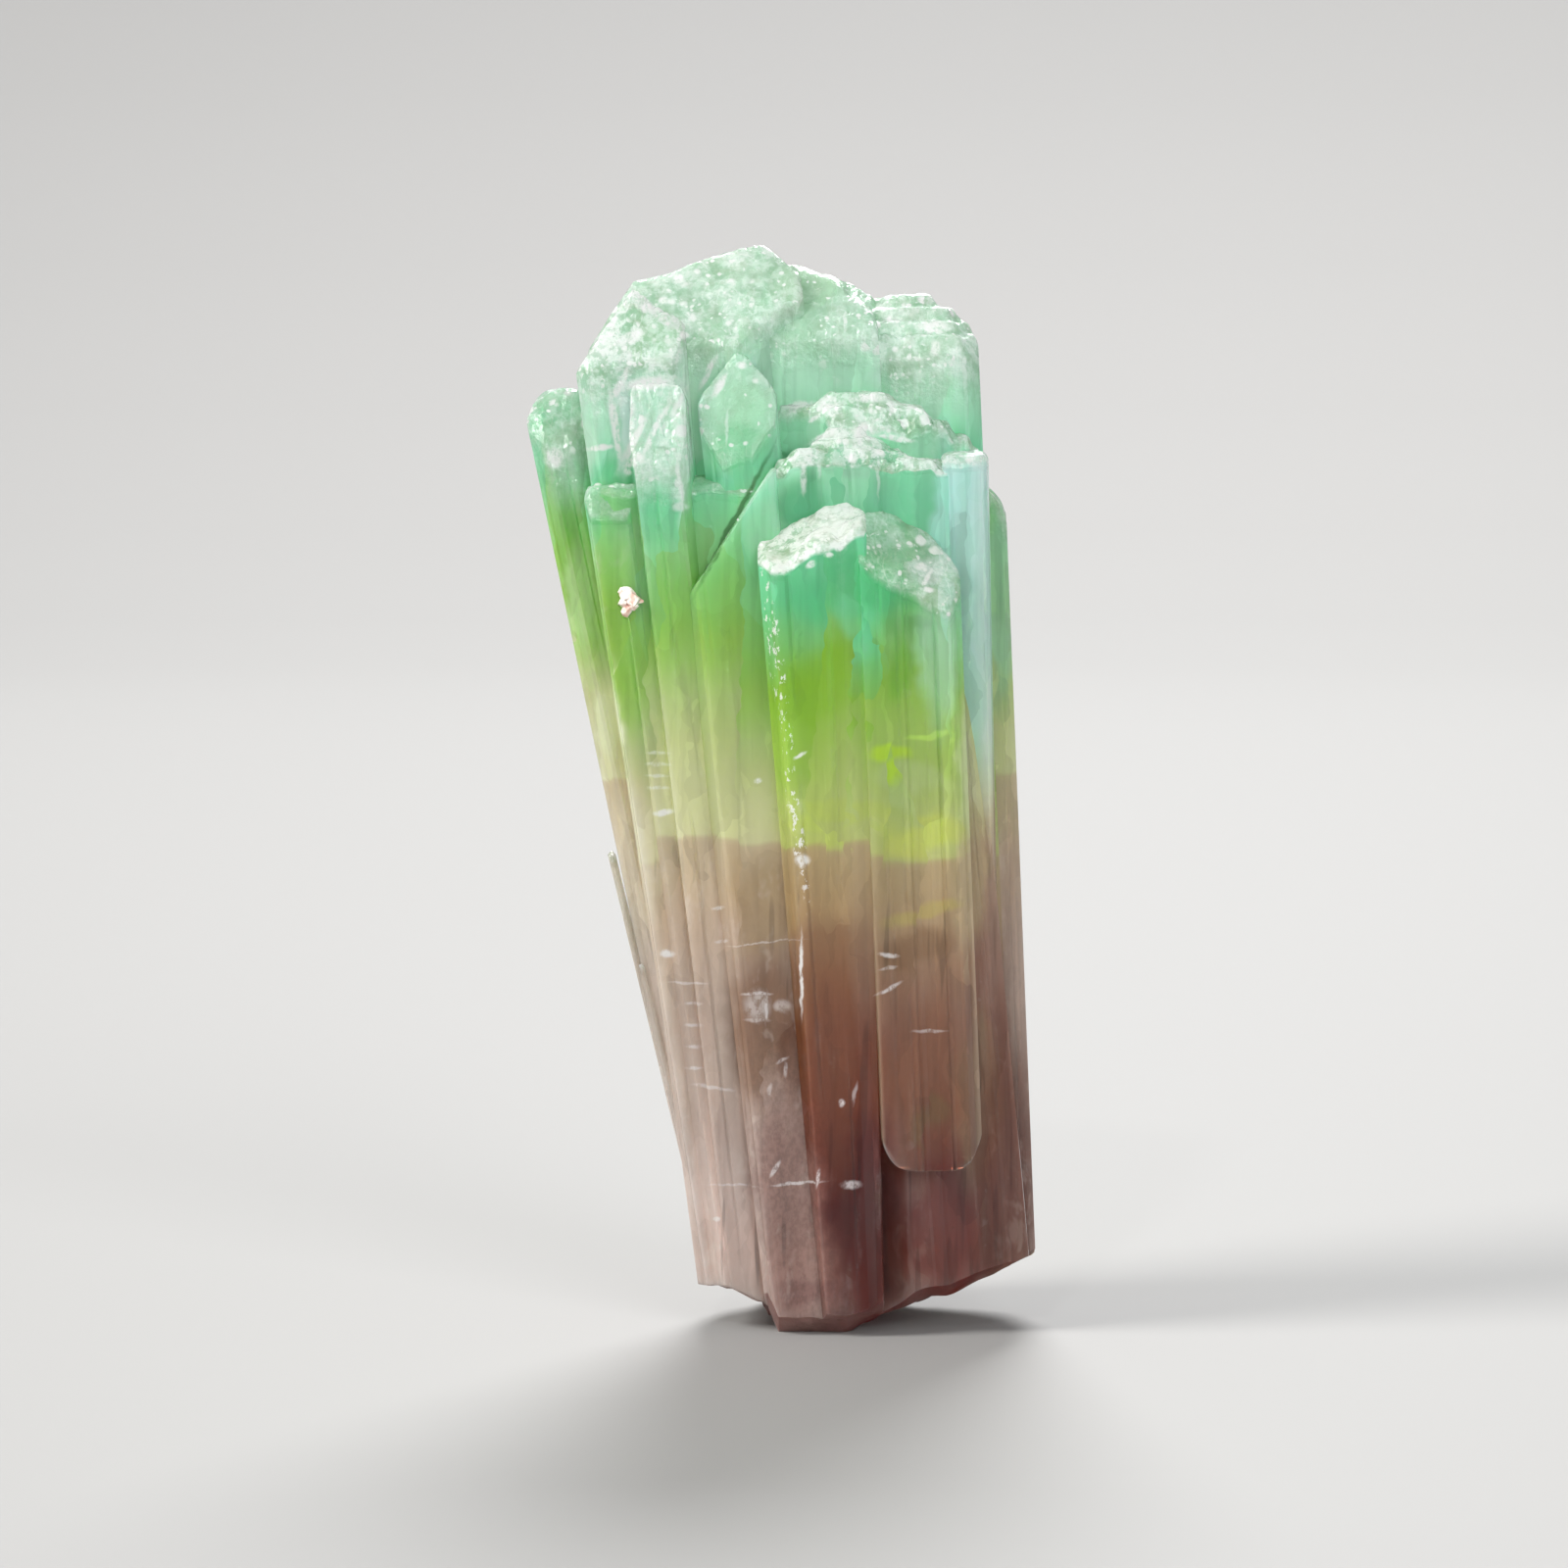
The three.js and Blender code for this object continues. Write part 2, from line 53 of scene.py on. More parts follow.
# The crystals, in millimetres: foot and head are the axis at z = 0 and at the peak, footSize and
# headSize the half widths there, peak its place beside the axis, and cap the faces that fall from
# it as azimuth, slope and start. One with a root ends at that height. Then the looks: zone is how
# much higher its colour zones lie, depth goes from pale to deep colour, frost is how far the rough
# white skin runs down the sides, rime its whiteness, rim the rounding of the cap's edge, step the
# height of its ledges, if it has any, and rough how deeply it is etched.
crystals = [
    dict(name="tallest", top=62, foot=(0.4, 1), head=(-5.2, 2.2), footSize=(4.7, 5.2),
         headSize=(6.3, 6.6), peak=(3.4, -0.6),
         cap=[(-93, 48, 0.5), (180, 18, 0), (176, 57, 5.3), (0, 40, 0.6), (-50, 52, 2.4),
              (95, 27, 1), (35, 36, 2)],
         zone=0, depth=0.3, frost=2, rime=0.42, rim=0.25, rough=0.4),
    dict(name="shoulder", top=60.9, foot=(5, 1.4), head=(1.5, 1.9), footSize=(3.2, 4.2),
         headSize=(3.9, 4.8), peak=(-1.3, 0),
         cap=[(0, 19, 0), (0, 34, 4.6), (-90, 48, 1), (-40, 36, 1.8), (90, 27, 1), (180, 12, 0)],
         faces=leftCornerFaces, zone=0, depth=0.5, frost=2, rime=0.25, rim=0.5, rough=0.7),
    dict(name="upperRight", top=59.3, foot=(10.3, 1.8), head=(7.5, 1.3), footSize=(3.4, 3.2),
         headSize=(3.55, 3.9), peak=(-0.1, 0),
         cap=[(-90, 42, 0.6), (180, 10, 0.4), (0, 29, 0.3), (0, 50, 1.6), (-38, 44, 1.4),
              (90, 30, 0.4), (-150, 30, 1.5)],
         faces=rightCornerFaces, zone=0.5, depth=0.5, frost=3.5, rime=0.45, rim=0.6, step=0.8, rough=0.8),
    dict(name="leftFront", top=59.5, foot=(-3, -1.3), head=(-8.75, -2.6), footSize=(1.8, 2.6),
         headSize=(3.2, 2.7), peak=(0.15, -0.6), cap=[(-95, 66, 0), (49, 62, 0), (180, 56, 0)],
         faces=panelFaces, zone=0, depth=0.15, frost=4, rime=0.65, rim=0.15, rough=0.35),
    dict(name="leftDome", top=55.7, foot=(3, -1.6), head=(-2.7, -4), footSize=(1.6, 1.8),
         headSize=(2.25, 2.2), peak=(0.1, 0), cap=[(-90, 71, 0), (180, 52, 0.3), (0, 50, 0.3)],
         zone=0, depth=0.35, frost=0.7, rime=0.1, rim=0.25, rough=0.3),
    dict(name="leftIce", top=54.2, foot=(-1.9, -2.6), head=(-7.2, -4.8), footSize=(1.3, 2.2),
         headSize=(1.75, 2), peak=(0.2, -0.5), cap=[(-92, 72, 0), (180, 22, 0.3), (0, 35, 0.5)],
         faces=panelFaces, zone=0.2, depth=0.15, frost=3.5, rime=0.45, rim=0.3, step=0.9, rough=1),
    dict(name="smallLeft", top=53.8, foot=(-2.5, -0.2), head=(-12.95, -1.4), footSize=(1.6, 2.2),
         headSize=(1.85, 2.6), peak=(0.3, 0.2),
         cap=[(-90, 50, 0.2), (180, 16, 0.3), (178, 62, 1.5), (0, 8, 0.4), (90, 40, 0.5)],
         zone=3.5, depth=0.05, frost=3.5, rime=0.35, rim=0.6, rough=0.8),
    dict(name="secondBack", top=53.7, foot=(8.6, -0.4), head=(5.1, -0.8), footSize=(4.9, 4),
         headSize=(6.1, 4.4), peak=(-1.6, -2.1),
         cap=[(-90, 50, 0.6), (180, 14, 0.2), (180, 60, 3.2), (0, 12, 0.8), (0, 34, 2.8),
              (-35, 40, 3.6)],
         zone=-1, depth=0.8, frost=0.8, rime=0.6, rim=0.5, step=0.8, rough=1),
    dict(name="secondFront", top=52.1, foot=(7, -1.6), head=(4.1, -3.3), footSize=(3.8, 3.4),
         headSize=(5.1, 3.2), peak=(-1, -0.9),
         cap=[(-90, 48, 0.2), (180, 36, 0), (0, 24, 0), (0, 34, 3.8), (90, 50, 0.5)],
         faces=slabFaces, zone=-1, depth=0.75, frost=0.15, rime=0.75, rim=0.4, step=0.6, rough=0.9),
    dict(name="backRight", top=50.8, foot=(4.6, 2.9), head=(1.8, 5.6), footSize=(3.8, 3.1),
         headSize=(4.8, 3.6), peak=(0.4, 0.3),
         cap=[(90, 30, 0.4), (-30, 24, 0), (-150, 24, 0), (30, 46, 2), (150, 46, 2)],
         zone=-0.5, depth=0.6, frost=2.5, rime=0.5, rim=0.9, step=0.7, rough=1),
    dict(name="leftTerrace", top=48.9, foot=(-3.1, -2), head=(-9.9, -4.2), footSize=(1.3, 2.2),
         headSize=(1.5, 2.1), peak=(0.3, -1), cap=[(-92, 60, 0), (180, 25, 0.3), (0, 12, 0.4)],
         faces=panelFaces, zone=-1, depth=0.1, frost=0.5, rime=0.3, rim=0.3, step=0.7, rough=0.9),
    dict(name="blade", top=50.3, foot=(12, -2), head=(10.05, -4.7), footSize=(0.7, 1.2),
         headSize=(1.45, 1.9), peak=(0, 0), cap=[(-90, 12, 0.4), (0, 16, 0.6), (180, 8, 0.6)],
         faces=rightCornerFaces, zone=5, depth=0.5, frost=0.5, rime=0.6, rim=0.3, rough=0.5),
    dict(name="centreStrip", top=49.3, foot=(1.1, -3.3), head=(-3.1, -4.15), footSize=(2.1, 3),
         headSize=(2.6, 2.7), peak=(2.3, 0), cap=[(180, 57, 0)],
         faces=leftCornerFaces, zone=0.3, depth=0.4, frost=0.05, rime=0, rim=0.05, rough=0.3),
    dict(name="leftBody", top=49.2, foot=(-0.3, -1.9), head=(-5.8, -3), footSize=(3.6, 2.9),
         headSize=(5.2, 3.2), peak=(0.5, 0), cap=[(-90, 20, 0), (180, 5, 0), (0, 5, 0)],
         faces=panelFaces, zone=0.2, depth=0.15, frost=0.3, rime=0.2, rim=0.25, rough=0.8),
    dict(name="rightRear", top=49, foot=(11.5, 0.4), head=(9.5, 0.9), footSize=(3.2, 3.8),
         headSize=(3.25, 4.6), peak=(0.6, 0),
         cap=[(-90, 30, 1.6), (0, 42, 0.6), (0, 66, 2.1), (90, 34, 1.6)],
         zone=4, depth=0.5, frost=1.2, rime=0.3, rim=0.8, rough=0.8),
    dict(name="frontLeft", top=47.4, foot=(3.9, -2.9), head=(1.55, -4.7), footSize=(1.95, 3.9),
         headSize=(3.15, 4.4), peak=(1.5, -1.4),
         cap=[(-115, 40, 0), (180, 27, 0.3), (0, 24, 0.5), (90, 30, 0.5)],
         faces=leftCornerFaces, zone=0.2, depth=0.95, frost=0.3, rime=1, rim=0.3, rough=0.8),
    dict(name="frontRight", top=47.2, root=9.6, foot=(8.6, -2.9), head=(6.9, -4.5),
         footSize=(2.95, 4.1), headSize=(3, 4.6), peak=(-0.5, -1),
         cap=[(-66, 55, 0.3), (0, 50, 0.4), (180, 14, 0.5), (90, 34, 0.6)],
         faces=rightCornerFaces, zone=-0.7, depth=0.85, frost=0.7, rime=0.4, rim=0.35, rough=0.7),
    dict(name="backLeft", top=47, foot=(-0.3, 2.4), head=(-7.4, 4.7), footSize=(3.2, 2.8),
         headSize=(4.3, 3.5), peak=(-0.4, 0.3),
         cap=[(90, 30, 0.4), (-30, 24, 0), (-150, 24, 0), (150, 46, 2)],
         zone=0.6, depth=0.3, frost=2.5, rime=0.5, rim=0.9, step=0.7, rough=1),
    dict(name="rightBody", top=43, foot=(9.5, -1.7), head=(6.4, -2.5), footSize=(5.1, 4.7),
         headSize=(4.4, 4.6), peak=(0, 0), cap=[(-90, 27, 0), (30, 27, 0), (150, 27, 0)],
         zone=6, depth=0.7, frost=0.8, rime=0.3, rim=0.6, rough=1),
    dict(name="backStep", top=41.5, foot=(9, 2.7), head=(7.9, 4.8), footSize=(3.4, 2.5),
         headSize=(3.6, 2.9), peak=(0, 0),
         cap=[(90, 27, 0.4), (-30, 27, 0), (-150, 27, 0), (30, 46, 1.8)],
         zone=-0.4, depth=0.8, frost=2.5, rime=0.5, rim=0.9, step=0.7, rough=1),
]


# one of the thin splits along the left side
def splitSliver(name, top, root, footAt, headAt, half):
    return dict(name=name, top=top, root=root, foot=footAt, head=headAt, footSize=half, headSize=half,
                peak=(0, 0), cap=[(0, 30, 0)], zone=-1, depth=0, frost=0.5, rime=0.5, rim=0.1, rough=1)


crystals += [
    splitSliver("lowSliver", 27.4, 9, (-3.67, -1.2), (-9.97, -1.3), (0.36, 0.7)),
    splitSliver("footSliver", 21, 6, (-3.75, -1.7), (-8.2, -1.8), (0.4, 0.6)),
    splitSliver("highSliver", 44.6, 30, (-3.74, -1.3), (-12.75, -1.5), (0.4, 0.8)),
]

prism = dict(
    rootLevel=-3, standShift=(0.1, -0.29),
    ribPitch=0.85, ribDepth=0.26, ribsInPanel=3,  # the ribs that the solid has too
    grooves=5,  # fine grooves to a rib
    fineDepth=0.012, panelDepth=0.05, grooveDepth=0.07, panelShare=0.12,
    rowsBelowRim=(0, 0.25, 0.6, 1.1, 1.8, 2.8, 4, 5.5), rowHeight=1.7,
)

etch = dict(
    height=0.6, width=1.7, fineHeight=0.3, fineWidth=0.9,  # as on the solid
    grit=0.17, gritWidth=0.38, pitHeight=0.22, pitWidth=0.75, spacing=0.2,
)

foot = dict(centreX=5, width=36, depth=28, thickness=6, spacing=0.3, chip=0.22, chipWidth=0.7)


def hash01(i, j, seed):
    wave = np.sin(i * 127.1 + j * 311.7 + seed * 74.7) * 43758.5453
    return wave - np.floor(wave)


def smoothStep(t):
    return t * t * (3 - 2 * t)


def rise(value, start, end):
    return smoothStep(np.clip((value - start) / (end - start), 0, 1))


def blend(a, b, share):
    return a * (1 - share) + b * share


# lumps from 0 to 1 over a plane, one wide per unit
def lumps(x, y, seed):
    i, j = np.floor(x), np.floor(y)
    u, v = smoothStep(x - i), smoothStep(y - j)
    near = blend(hash01(i, j, seed), hash01(i + 1, j, seed), u)
    far = blend(hash01(i, j + 1, seed), hash01(i + 1, j + 1, seed), u)
    return blend(near, far, v)


# how far a section reaches from its axis at each angle, over the half width
def sectionReach(faces, angle):
    reach = np.full(angle.shape, np.inf)
    for azimuth, distance in faces:
        lean = np.cos(angle - math.radians(azimuth))
        reach = np.where(lean > 0.2, np.minimum(reach, distance / np.maximum(lean, 0.2)), reach)
    return reach


def capDrop(crystal, x, y):
    away = np.zeros(np.shape(x))
    peakX = crystal["head"][0] + crystal["peak"][0]
    peakY = crystal["head"][1] + crystal["peak"][1]
    for azimuth, slope, start in crystal["cap"]:
        turn = math.radians(azimuth)
        along = (x - peakX) * math.cos(turn) + (y - peakY) * math.sin(turn)
        away = np.maximum(away, math.tan(math.radians(slope)) * (along - start))
    return away


# height of the etched cap; inset is the distance from the cap's edge
def capLevel(crystal, x, y, seed, inset):
    lump = etch["height"] * (lumps(x / etch["width"], y / etch["width"], seed) - 0.5)
    lump += etch["fineHeight"] * (lumps(x / etch["fineWidth"], y / etch["fineWidth"], seed + 30) - 0.5)
    level = np.minimum(crystal["top"], crystal["top"] - capDrop(crystal, x, y) + crystal["rough"] * lump)
    if "step" in crystal:  # ledges: nearly level treads, steep risers
        count = level / crystal["step"]
        tread = np.floor(count)
        ledge = crystal["step"] * (tread + rise(count - tread, 0.45, 0.95))
        level = blend(level, np.minimum(ledge, level + 0.2), 0.75)
    rim = crystal["rim"] * (0.6 + 0.8 * lumps(x / 1.3, y / 1.3, seed + 90))
    near = np.clip(1 - inset / rim, 0, 1)
    level = level - rim * (1 - np.sqrt(1 - 0.96 * near * near))
    pit = lumps(x / etch["pitWidth"], y / etch["pitWidth"], seed + 60)
    grit = lumps(x / etch["gritWidth"], y / etch["gritWidth"], seed + 61)
    return level - crystal["rough"] * (etch["pitHeight"] * rise(pit, 0.55, 0.9) + etch["grit"] * grit)


# how far the sides lie behind the flat faces: the solid's ribs, then flat panels and fine grooves
def ribDepths(count, ribs, seed):
    place = np.arange(count) / count * ribs
    low = np.floor(place + 1e-6)
    here, beyond = (hash01(np.floor((rib % ribs) / prism["ribsInPanel"]), 0, seed) for rib in (low, low + 1))
    coarse = prism["ribDepth"] * blend(here, beyond, np.clip(place - low, 0, 1))
    index = np.arange(count)
    starts = hash01(index, 2, seed) < prism["panelShare"]
    panel = prism["panelDepth"] * hash01(np.cumsum(starts) % max(1, starts.sum()), 3, seed)
    groove = np.where(starts, prism["grooveDepth"] * hash01(index, 4, seed), 0)
    fine = prism["fineDepth"] * hash01(index, 1, seed)
    return coarse, panel, groove, fine


# rings of points down the sides, close together below the cap, and the middle of the foot
def sideRings(crystal, seed):
    root = crystal.get("root", prism["rootLevel"])
    headX, headY = crystal["headSize"]
    ribs = round(math.pi * (headX + headY) / prism["ribPitch"])
    count = ribs * prism["grooves"]
    angle = np.arange(count) / count * 2 * math.pi
    cosine, sine = np.cos(angle), np.sin(angle)
    reach = sectionReach(crystal.get("faces", trigonalFaces), angle)
    coarse, panel, groove, fine = ribDepths(count, ribs, seed)

    def outline(share):
        halfX = blend(crystal["footSize"][0], headX, share)
        halfY = blend(crystal["footSize"][1], headY, share)
        axisX = blend(crystal["foot"][0], crystal["head"][0], share)
        axisY = blend(crystal["foot"][1], crystal["head"][1], share)
        x = axisX + (halfX * reach - coarse) * cosine
        y = axisY + (halfY * reach - coarse) * sine
        return x, y, (x - axisX) / halfX

    footX, footY, sideways = outline(root / crystal["top"])
    rimX, rimY, _ = outline(1)
    footZ = root + (2.2 * np.abs(sideways) ** 5 if "root" in crystal else 0 * angle)
    rimZ = capLevel(crystal, rimX, rimY, seed, 0 * angle)
    drops = prism["rowsBelowRim"]
    height = crystal["top"] - root
    rows = max(1, round((height - drops[-1]) / prism["rowHeight"]))
    shares = [1 - min(d, 0.9 * height) / height for d in drops if d < 0.8 * height]
    shares += [shares[-1] * (1 - (k + 1) / rows) for k in range(rows)]
    rings = []
    for share in shares:
        x, y, z = (blend(low, high, share) for low, high in ((footX, rimX), (footY, rimY), (footZ, rimZ)))
        long = lumps(angle * 4, z / 8 + 3, seed + 11)
        inward = panel * (0.4 + 0.6 * long) + groove * rise(lumps(angle * 9, z / 11, seed + 12), 0.25, 0.5)
        inward += fine * (0.3 + long)
        rings.append(np.column_stack([x - inward * cosine, y - inward * sine, z]))
    return rings, (footX.mean(), footY.mean(), root)


# the cap: loose points inside the rim, joined into small irregular facets
def coverCap(crystal, rim, seed, sideCount):
    spacing = etch["spacing"]
    (lowX, lowY), (highX, highY) = rim.min(0), rim.max(0)
    gridX, gridY = np.meshgrid(np.arange(lowX, highX, spacing), np.arange(lowY, highY, spacing * 0.87))
    gridX = gridX + (np.arange(gridX.shape[0]) % 2)[:, None] * spacing / 2
    loose = np.column_stack([gridX.ravel(), gridY.ravel()])
    loose += np.random.default_rng(seed).uniform(-0.3, 0.3, loose.shape) * spacing
    centre = np.array(crystal["head"])

    def polar(points):
        away = points - centre
        return np.arctan2(away[:, 1], away[:, 0]) % (2 * math.pi), np.hypot(*away.T)

    rimTurn, rimReach = polar(rim)
    order = np.argsort(rimTurn)
    turn, distance = polar(loose)
    inset = np.interp(turn, rimTurn[order], rimReach[order], period=2 * math.pi) - distance
    keep = inset > 0.6 * spacing
    loose, inset = loose[keep], inset[keep]
    count = len(rim)
    edges = [(k, (k + 1) % count) for k in range(count)]
    flat = [Vector(p) for p in np.concatenate([rim, loose])]
    result = delaunay_2d_cdt(flat, edges, [], 1, 1e-7)
    inputIndex = np.array([origin[0] for origin in result[3]])
    faces = inputIndex[np.array([f for f in result[2] if len(f) == 3])]
    faces = np.where(faces < count, faces, faces - count + sideCount)
    return np.column_stack([loose, capLevel(crystal, *loose.T, seed, inset)]), faces


def buildCrystal(crystal, seed):
    rings, footMiddle = sideRings(crystal, seed)
    count = len(rings[0])
    sides = np.concatenate(rings)
    around = np.arange(count)
    after = (around + 1) % count
    quads = np.concatenate([np.column_stack([row * count + around, row * count + after,
                                             (row + 1) * count + after, (row + 1) * count + around])
                            for row in range(len(rings) - 1)])
    sideFaces = np.concatenate([quads[:, [0, 1, 2]], quads[:, [0, 2, 3]]])
    cap, capFaces = coverCap(crystal, rings[0][:, :2], seed, len(sides))
    lowest, hub = len(sides) - count, len(sides) + len(cap)
    footFaces = np.column_stack([lowest + after, lowest + around, np.full(count, hub)])
    faces = np.concatenate([sideFaces, capFaces, footFaces])
    isCap = np.concatenate([np.zeros(len(sideFaces)), np.ones(len(capFaces)), np.zeros(count)])
    return np.concatenate([sides, cap, [footMiddle]]), faces, isCap


def footLevel(x, y):
    rightStart = 3.5 + 1.7 * rise(y, -4, 2)
    right = np.maximum(0, x - rightStart) * 0.4
    leftStart = 0.3 + 0.8 * rise(y, -3, 2)
    left = 1.8 * rise(-x, leftStart, leftStart + 0.9) + 0.16 * np.maximum(0, -x - 0.6)
    back = 0.45 * np.maximum(0, y - 4.2)
    frontRim = 0.6 * np.maximum(0, -4.6 - y)
    slope = right + left + back + frontRim
    lump = 0.5 * (lumps(x / 1.6, y / 1.6, 50) - 0.74)
    glintPatches = foot["chip"] * lumps(x / foot["chipWidth"], y / foot["chipWidth"], 51)
    return np.maximum(0, slope + lump + glintPatches * np.clip(slope * 2, 0, 1))


# a block whose top is the broken underside; it is cut away from the crystals
def buildFootBlock():
    columns = round(foot["width"] / foot["spacing"])
    rows = round(foot["depth"] / foot["spacing"])
    x = foot["centreX"] + np.linspace(-0.5, 0.5, columns + 1) * foot["width"]
    y = np.linspace(-0.5, 0.5, rows + 1) * foot["depth"]
    gridX, gridY = np.meshgrid(x, y)
    top = np.column_stack([gridX.ravel(), gridY.ravel(), footLevel(gridX, gridY).ravel()])
    index = np.arange(len(top)).reshape(rows + 1, columns + 1)
    a, b, c, d = (part.ravel() for part in (index[:-1, :-1], index[:-1, 1:], index[1:, 1:], index[1:, :-1]))
    border = np.concatenate([index[0, :], index[1:, -1], index[-1, -2::-1], index[-2:0:-1, 0]])
    count = len(border)
    skirt = top[border].copy()
    skirt[:, 2] = -foot["thickness"]
    around = np.arange(count)
    after = (around + 1) % count
    lower, hub = len(top) + around, np.full(count, len(top) + count)
    faces = np.concatenate([np.column_stack(f) for f in (
        (a, b, c), (a, c, d), (border, lower, lower[after]), (border, lower[after], border[after]),
        (lower, hub, lower[after]))])
    return np.concatenate([top, skirt, [[foot["centreX"], 0, -foot["thickness"]]]]), faces


def addObject(name, data):
    obj = bpy.data.objects.new(name, data)
    bpy.context.scene.collection.objects.link(obj)
    return obj


def meshObject(name, vertices, faces):
    mesh = bpy.data.meshes.new(name)
    mesh.vertices.add(len(vertices))
    mesh.vertices.foreach_set("co", np.asarray(vertices, np.float32).ravel())
    mesh.loops.add(len(faces) * 3)
    mesh.loops.foreach_set("vertex_index", np.asarray(faces, np.int32).ravel())
    mesh.polygons.add(len(faces))
    mesh.polygons.foreach_set("loop_start", np.arange(len(faces), dtype=np.int32) * 3)
    mesh.update(calc_edges=True)
    return addObject(name, mesh)


def faceOutward(obj):
    bm = bmesh.new()
    bm.from_mesh(obj.data)
    bmesh.ops.recalc_face_normals(bm, faces=bm.faces)
    if bm.calc_volume(signed=True) < 0:
        bmesh.ops.reverse_faces(bm, faces=bm.faces)
    bm.to_mesh(obj.data)
    bm.free()


# join the crystals and break off the foot
def joinCrystals(parts, cutter):
    body = parts[0]
    for other in parts[1:] + [cutter]:
        modifier = body.modifiers.new(other.name, "BOOLEAN")
        modifier.solver = "MANIFOLD"
        modifier.operation = "DIFFERENCE" if other is cutter else "UNION"
        modifier.object = other
    bpy.context.view_layer.update()
    joined = bpy.data.meshes.new_from_object(body.evaluated_get(bpy.context.evaluated_depsgraph_get()))
    for obj in parts + [cutter]:
        mesh = obj.data
        bpy.data.objects.remove(obj)
        bpy.data.meshes.remove(mesh)
    bm = bmesh.new()
    bm.from_mesh(joined)
    bmesh.ops.triangulate(bm, faces=bm.faces)
    bm.to_mesh(joined)
    bm.free()
    return joined


def read(collection, name, size, kind=np.float32):
    values = np.empty(len(collection) * size, kind)
    collection.foreach_get(name, values)
    return values.reshape(-1, size) if size > 1 else values


# every face of the joined mesh learns which crystal it came from, and keeps that crystal's looks
def colourByCrystal(joined, sources):
    offsets = np.cumsum([0] + [len(vertices) for vertices, _, _ in sources])
    tree = BVHTree.FromPolygons(
        np.concatenate([vertices for vertices, _, _ in sources]).tolist(),
        np.concatenate([faces + offset for (_, faces, _), offset in zip(sources, offsets)]).tolist(),
        all_triangles=True)
    owners = np.concatenate([np.full(len(faces), index) for index, (_, faces, _) in enumerate(sources)])
    caps = np.concatenate([isCap for _, _, isCap in sources])
    nearest = np.array([tree.find_nearest(Vector(c))[2] for c in read(joined.polygons, "center", 3)])
    owner, isCap = np.repeat(owners[nearest], 3), np.repeat(caps[nearest], 3)
    place = read(joined.vertices, "co", 3)[read(joined.loops, "vertex_index", 1, np.int32)].astype(float)
    names = ("growth", "depth", "frost", "rime", "skyReflection", "edge", "broken")
    looks = {name: np.zeros(len(place)) for name in names}
    looks["growth"] = place[:, 2].copy()
    looks["depth"] += 0.9  # for the broken foot; each crystal sets its own below
    looks["broken"] = (owner == len(crystals)).astype(float)
    for index, crystal in enumerate(crystals):
        own = owner == index
        x, y, z = place[own].T
        below = capLevel(crystal, x, y, index + 1, 0 * x) - z
        fade = np.clip(1 - below / crystal["frost"], 0, 1)
        looks["growth"][own] -= crystal["zone"] * rise(z, 10, 26)
        looks["depth"][own] = crystal["depth"] + 0.4 * rise(y, -2, 4)
        looks["frost"][own] = np.maximum(isCap[own], fade)
        looks["rime"][own] = crystal["rime"]
        # the blade's front carries a painted reflection of the sky
        looks["skyReflection"][own] = crystal["name"] == "blade"
        if crystal["name"] == "frontRight":  # a painted highlight down both sides of the tongue
            axis = blend(crystal["foot"][0], crystal["head"][0], z / crystal["top"])
            half = blend(crystal["footSize"][0], crystal["headSize"][0], z / crystal["top"])
            looks["edge"][own] = rise(np.abs(x - axis) / half, 0.85, 0.95) * (z < 24)
    for name, values in looks.items():
        attribute = joined.attributes.new(name, "FLOAT", "CORNER")
        attribute.data.foreach_set("value", values.astype(np.float32))


def buildCluster():
    sources = [buildCrystal(crystal, index + 1) for index, crystal in enumerate(crystals)]
    parts = [meshObject(crystal["name"], *source[:2]) for crystal, source in zip(crystals, sources)]
    blockVertices, blockFaces = buildFootBlock()
    cutter = meshObject("footBlock", blockVertices, blockFaces)
    sources.append((blockVertices, blockFaces, np.zeros(len(blockFaces))))
    for obj in parts + [cutter]:
        faceOutward(obj)
    print("crystals grown:", sum(len(faces) for _, faces, _ in sources), "triangles")
    joined = joinCrystals(parts, cutter)
    print("cluster joined:", len(joined.polygons), "triangles")
    colourByCrystal(joined, sources)
    shiftX, shiftY = prism["standShift"]
    place = (read(joined.vertices, "co", 3) + np.array([shiftX, shiftY, 0])) * mm
    joined.vertices.foreach_set("co", place.astype(np.float32).ravel())
    joined.update()
    joined.set_sharp_from_angle(angle=math.radians(10))
    return addObject("crystalCluster", joined)


def colour(r, g, b):
    linear = [(c / 255 / 12.92 if c <= 10 else ((c / 255 + 0.055) / 1.055) ** 2.4) for c in (r, g, b)]
    return (*linear, 1)


# what the studio's light makes of a body colour: shine + plain * body + deep * body squared
response = dict(shine=0.0265, plain=0.68, deep=0.13)


# the body colour that looks like this in that light
def litAs(r, g, b):
    plain, deep = response["plain"], response["deep"]
    seen = (max(0, c - response["shine"]) for c in colour(r, g, b)[:3])
    body = ((math.sqrt(plain ** 2 + 4 * deep * c) - plain) / (2 * deep) for c in seen)
    return (*(min(0.95, max(0.001, c)) for c in body), 1)


def feed(tree, socket, value):
    if isinstance(value, bpy.types.NodeSocket):
        tree.links.new(value, socket)
    else:
        socket.default_value = value


def add(tree, kind, settings=None, **inputs):
    node = tree.nodes.new("ShaderNode" + kind)
    for name, value in (settings or {}).items():
        setattr(node, name, value)
    for name, value in inputs.items():
        feed(tree, node.inputs[name.replace("_", " ")], value)
    return node


def calc(tree, operation, *values, clamp=False):
    node = add(tree, "Math", {"operation": operation, "use_clamp": clamp})
    for socket, value in zip(node.inputs, values):
        feed(tree, socket, value)
    return node.outputs[0]


def times(tree, a, b, clamp=False):
    return calc(tree, "MULTIPLY", a, b, clamp=clamp)


def timesPlus(tree, a, b, c, clamp=False):
    return calc(tree, "MULTIPLY_ADD", a, b, c, clamp=clamp)


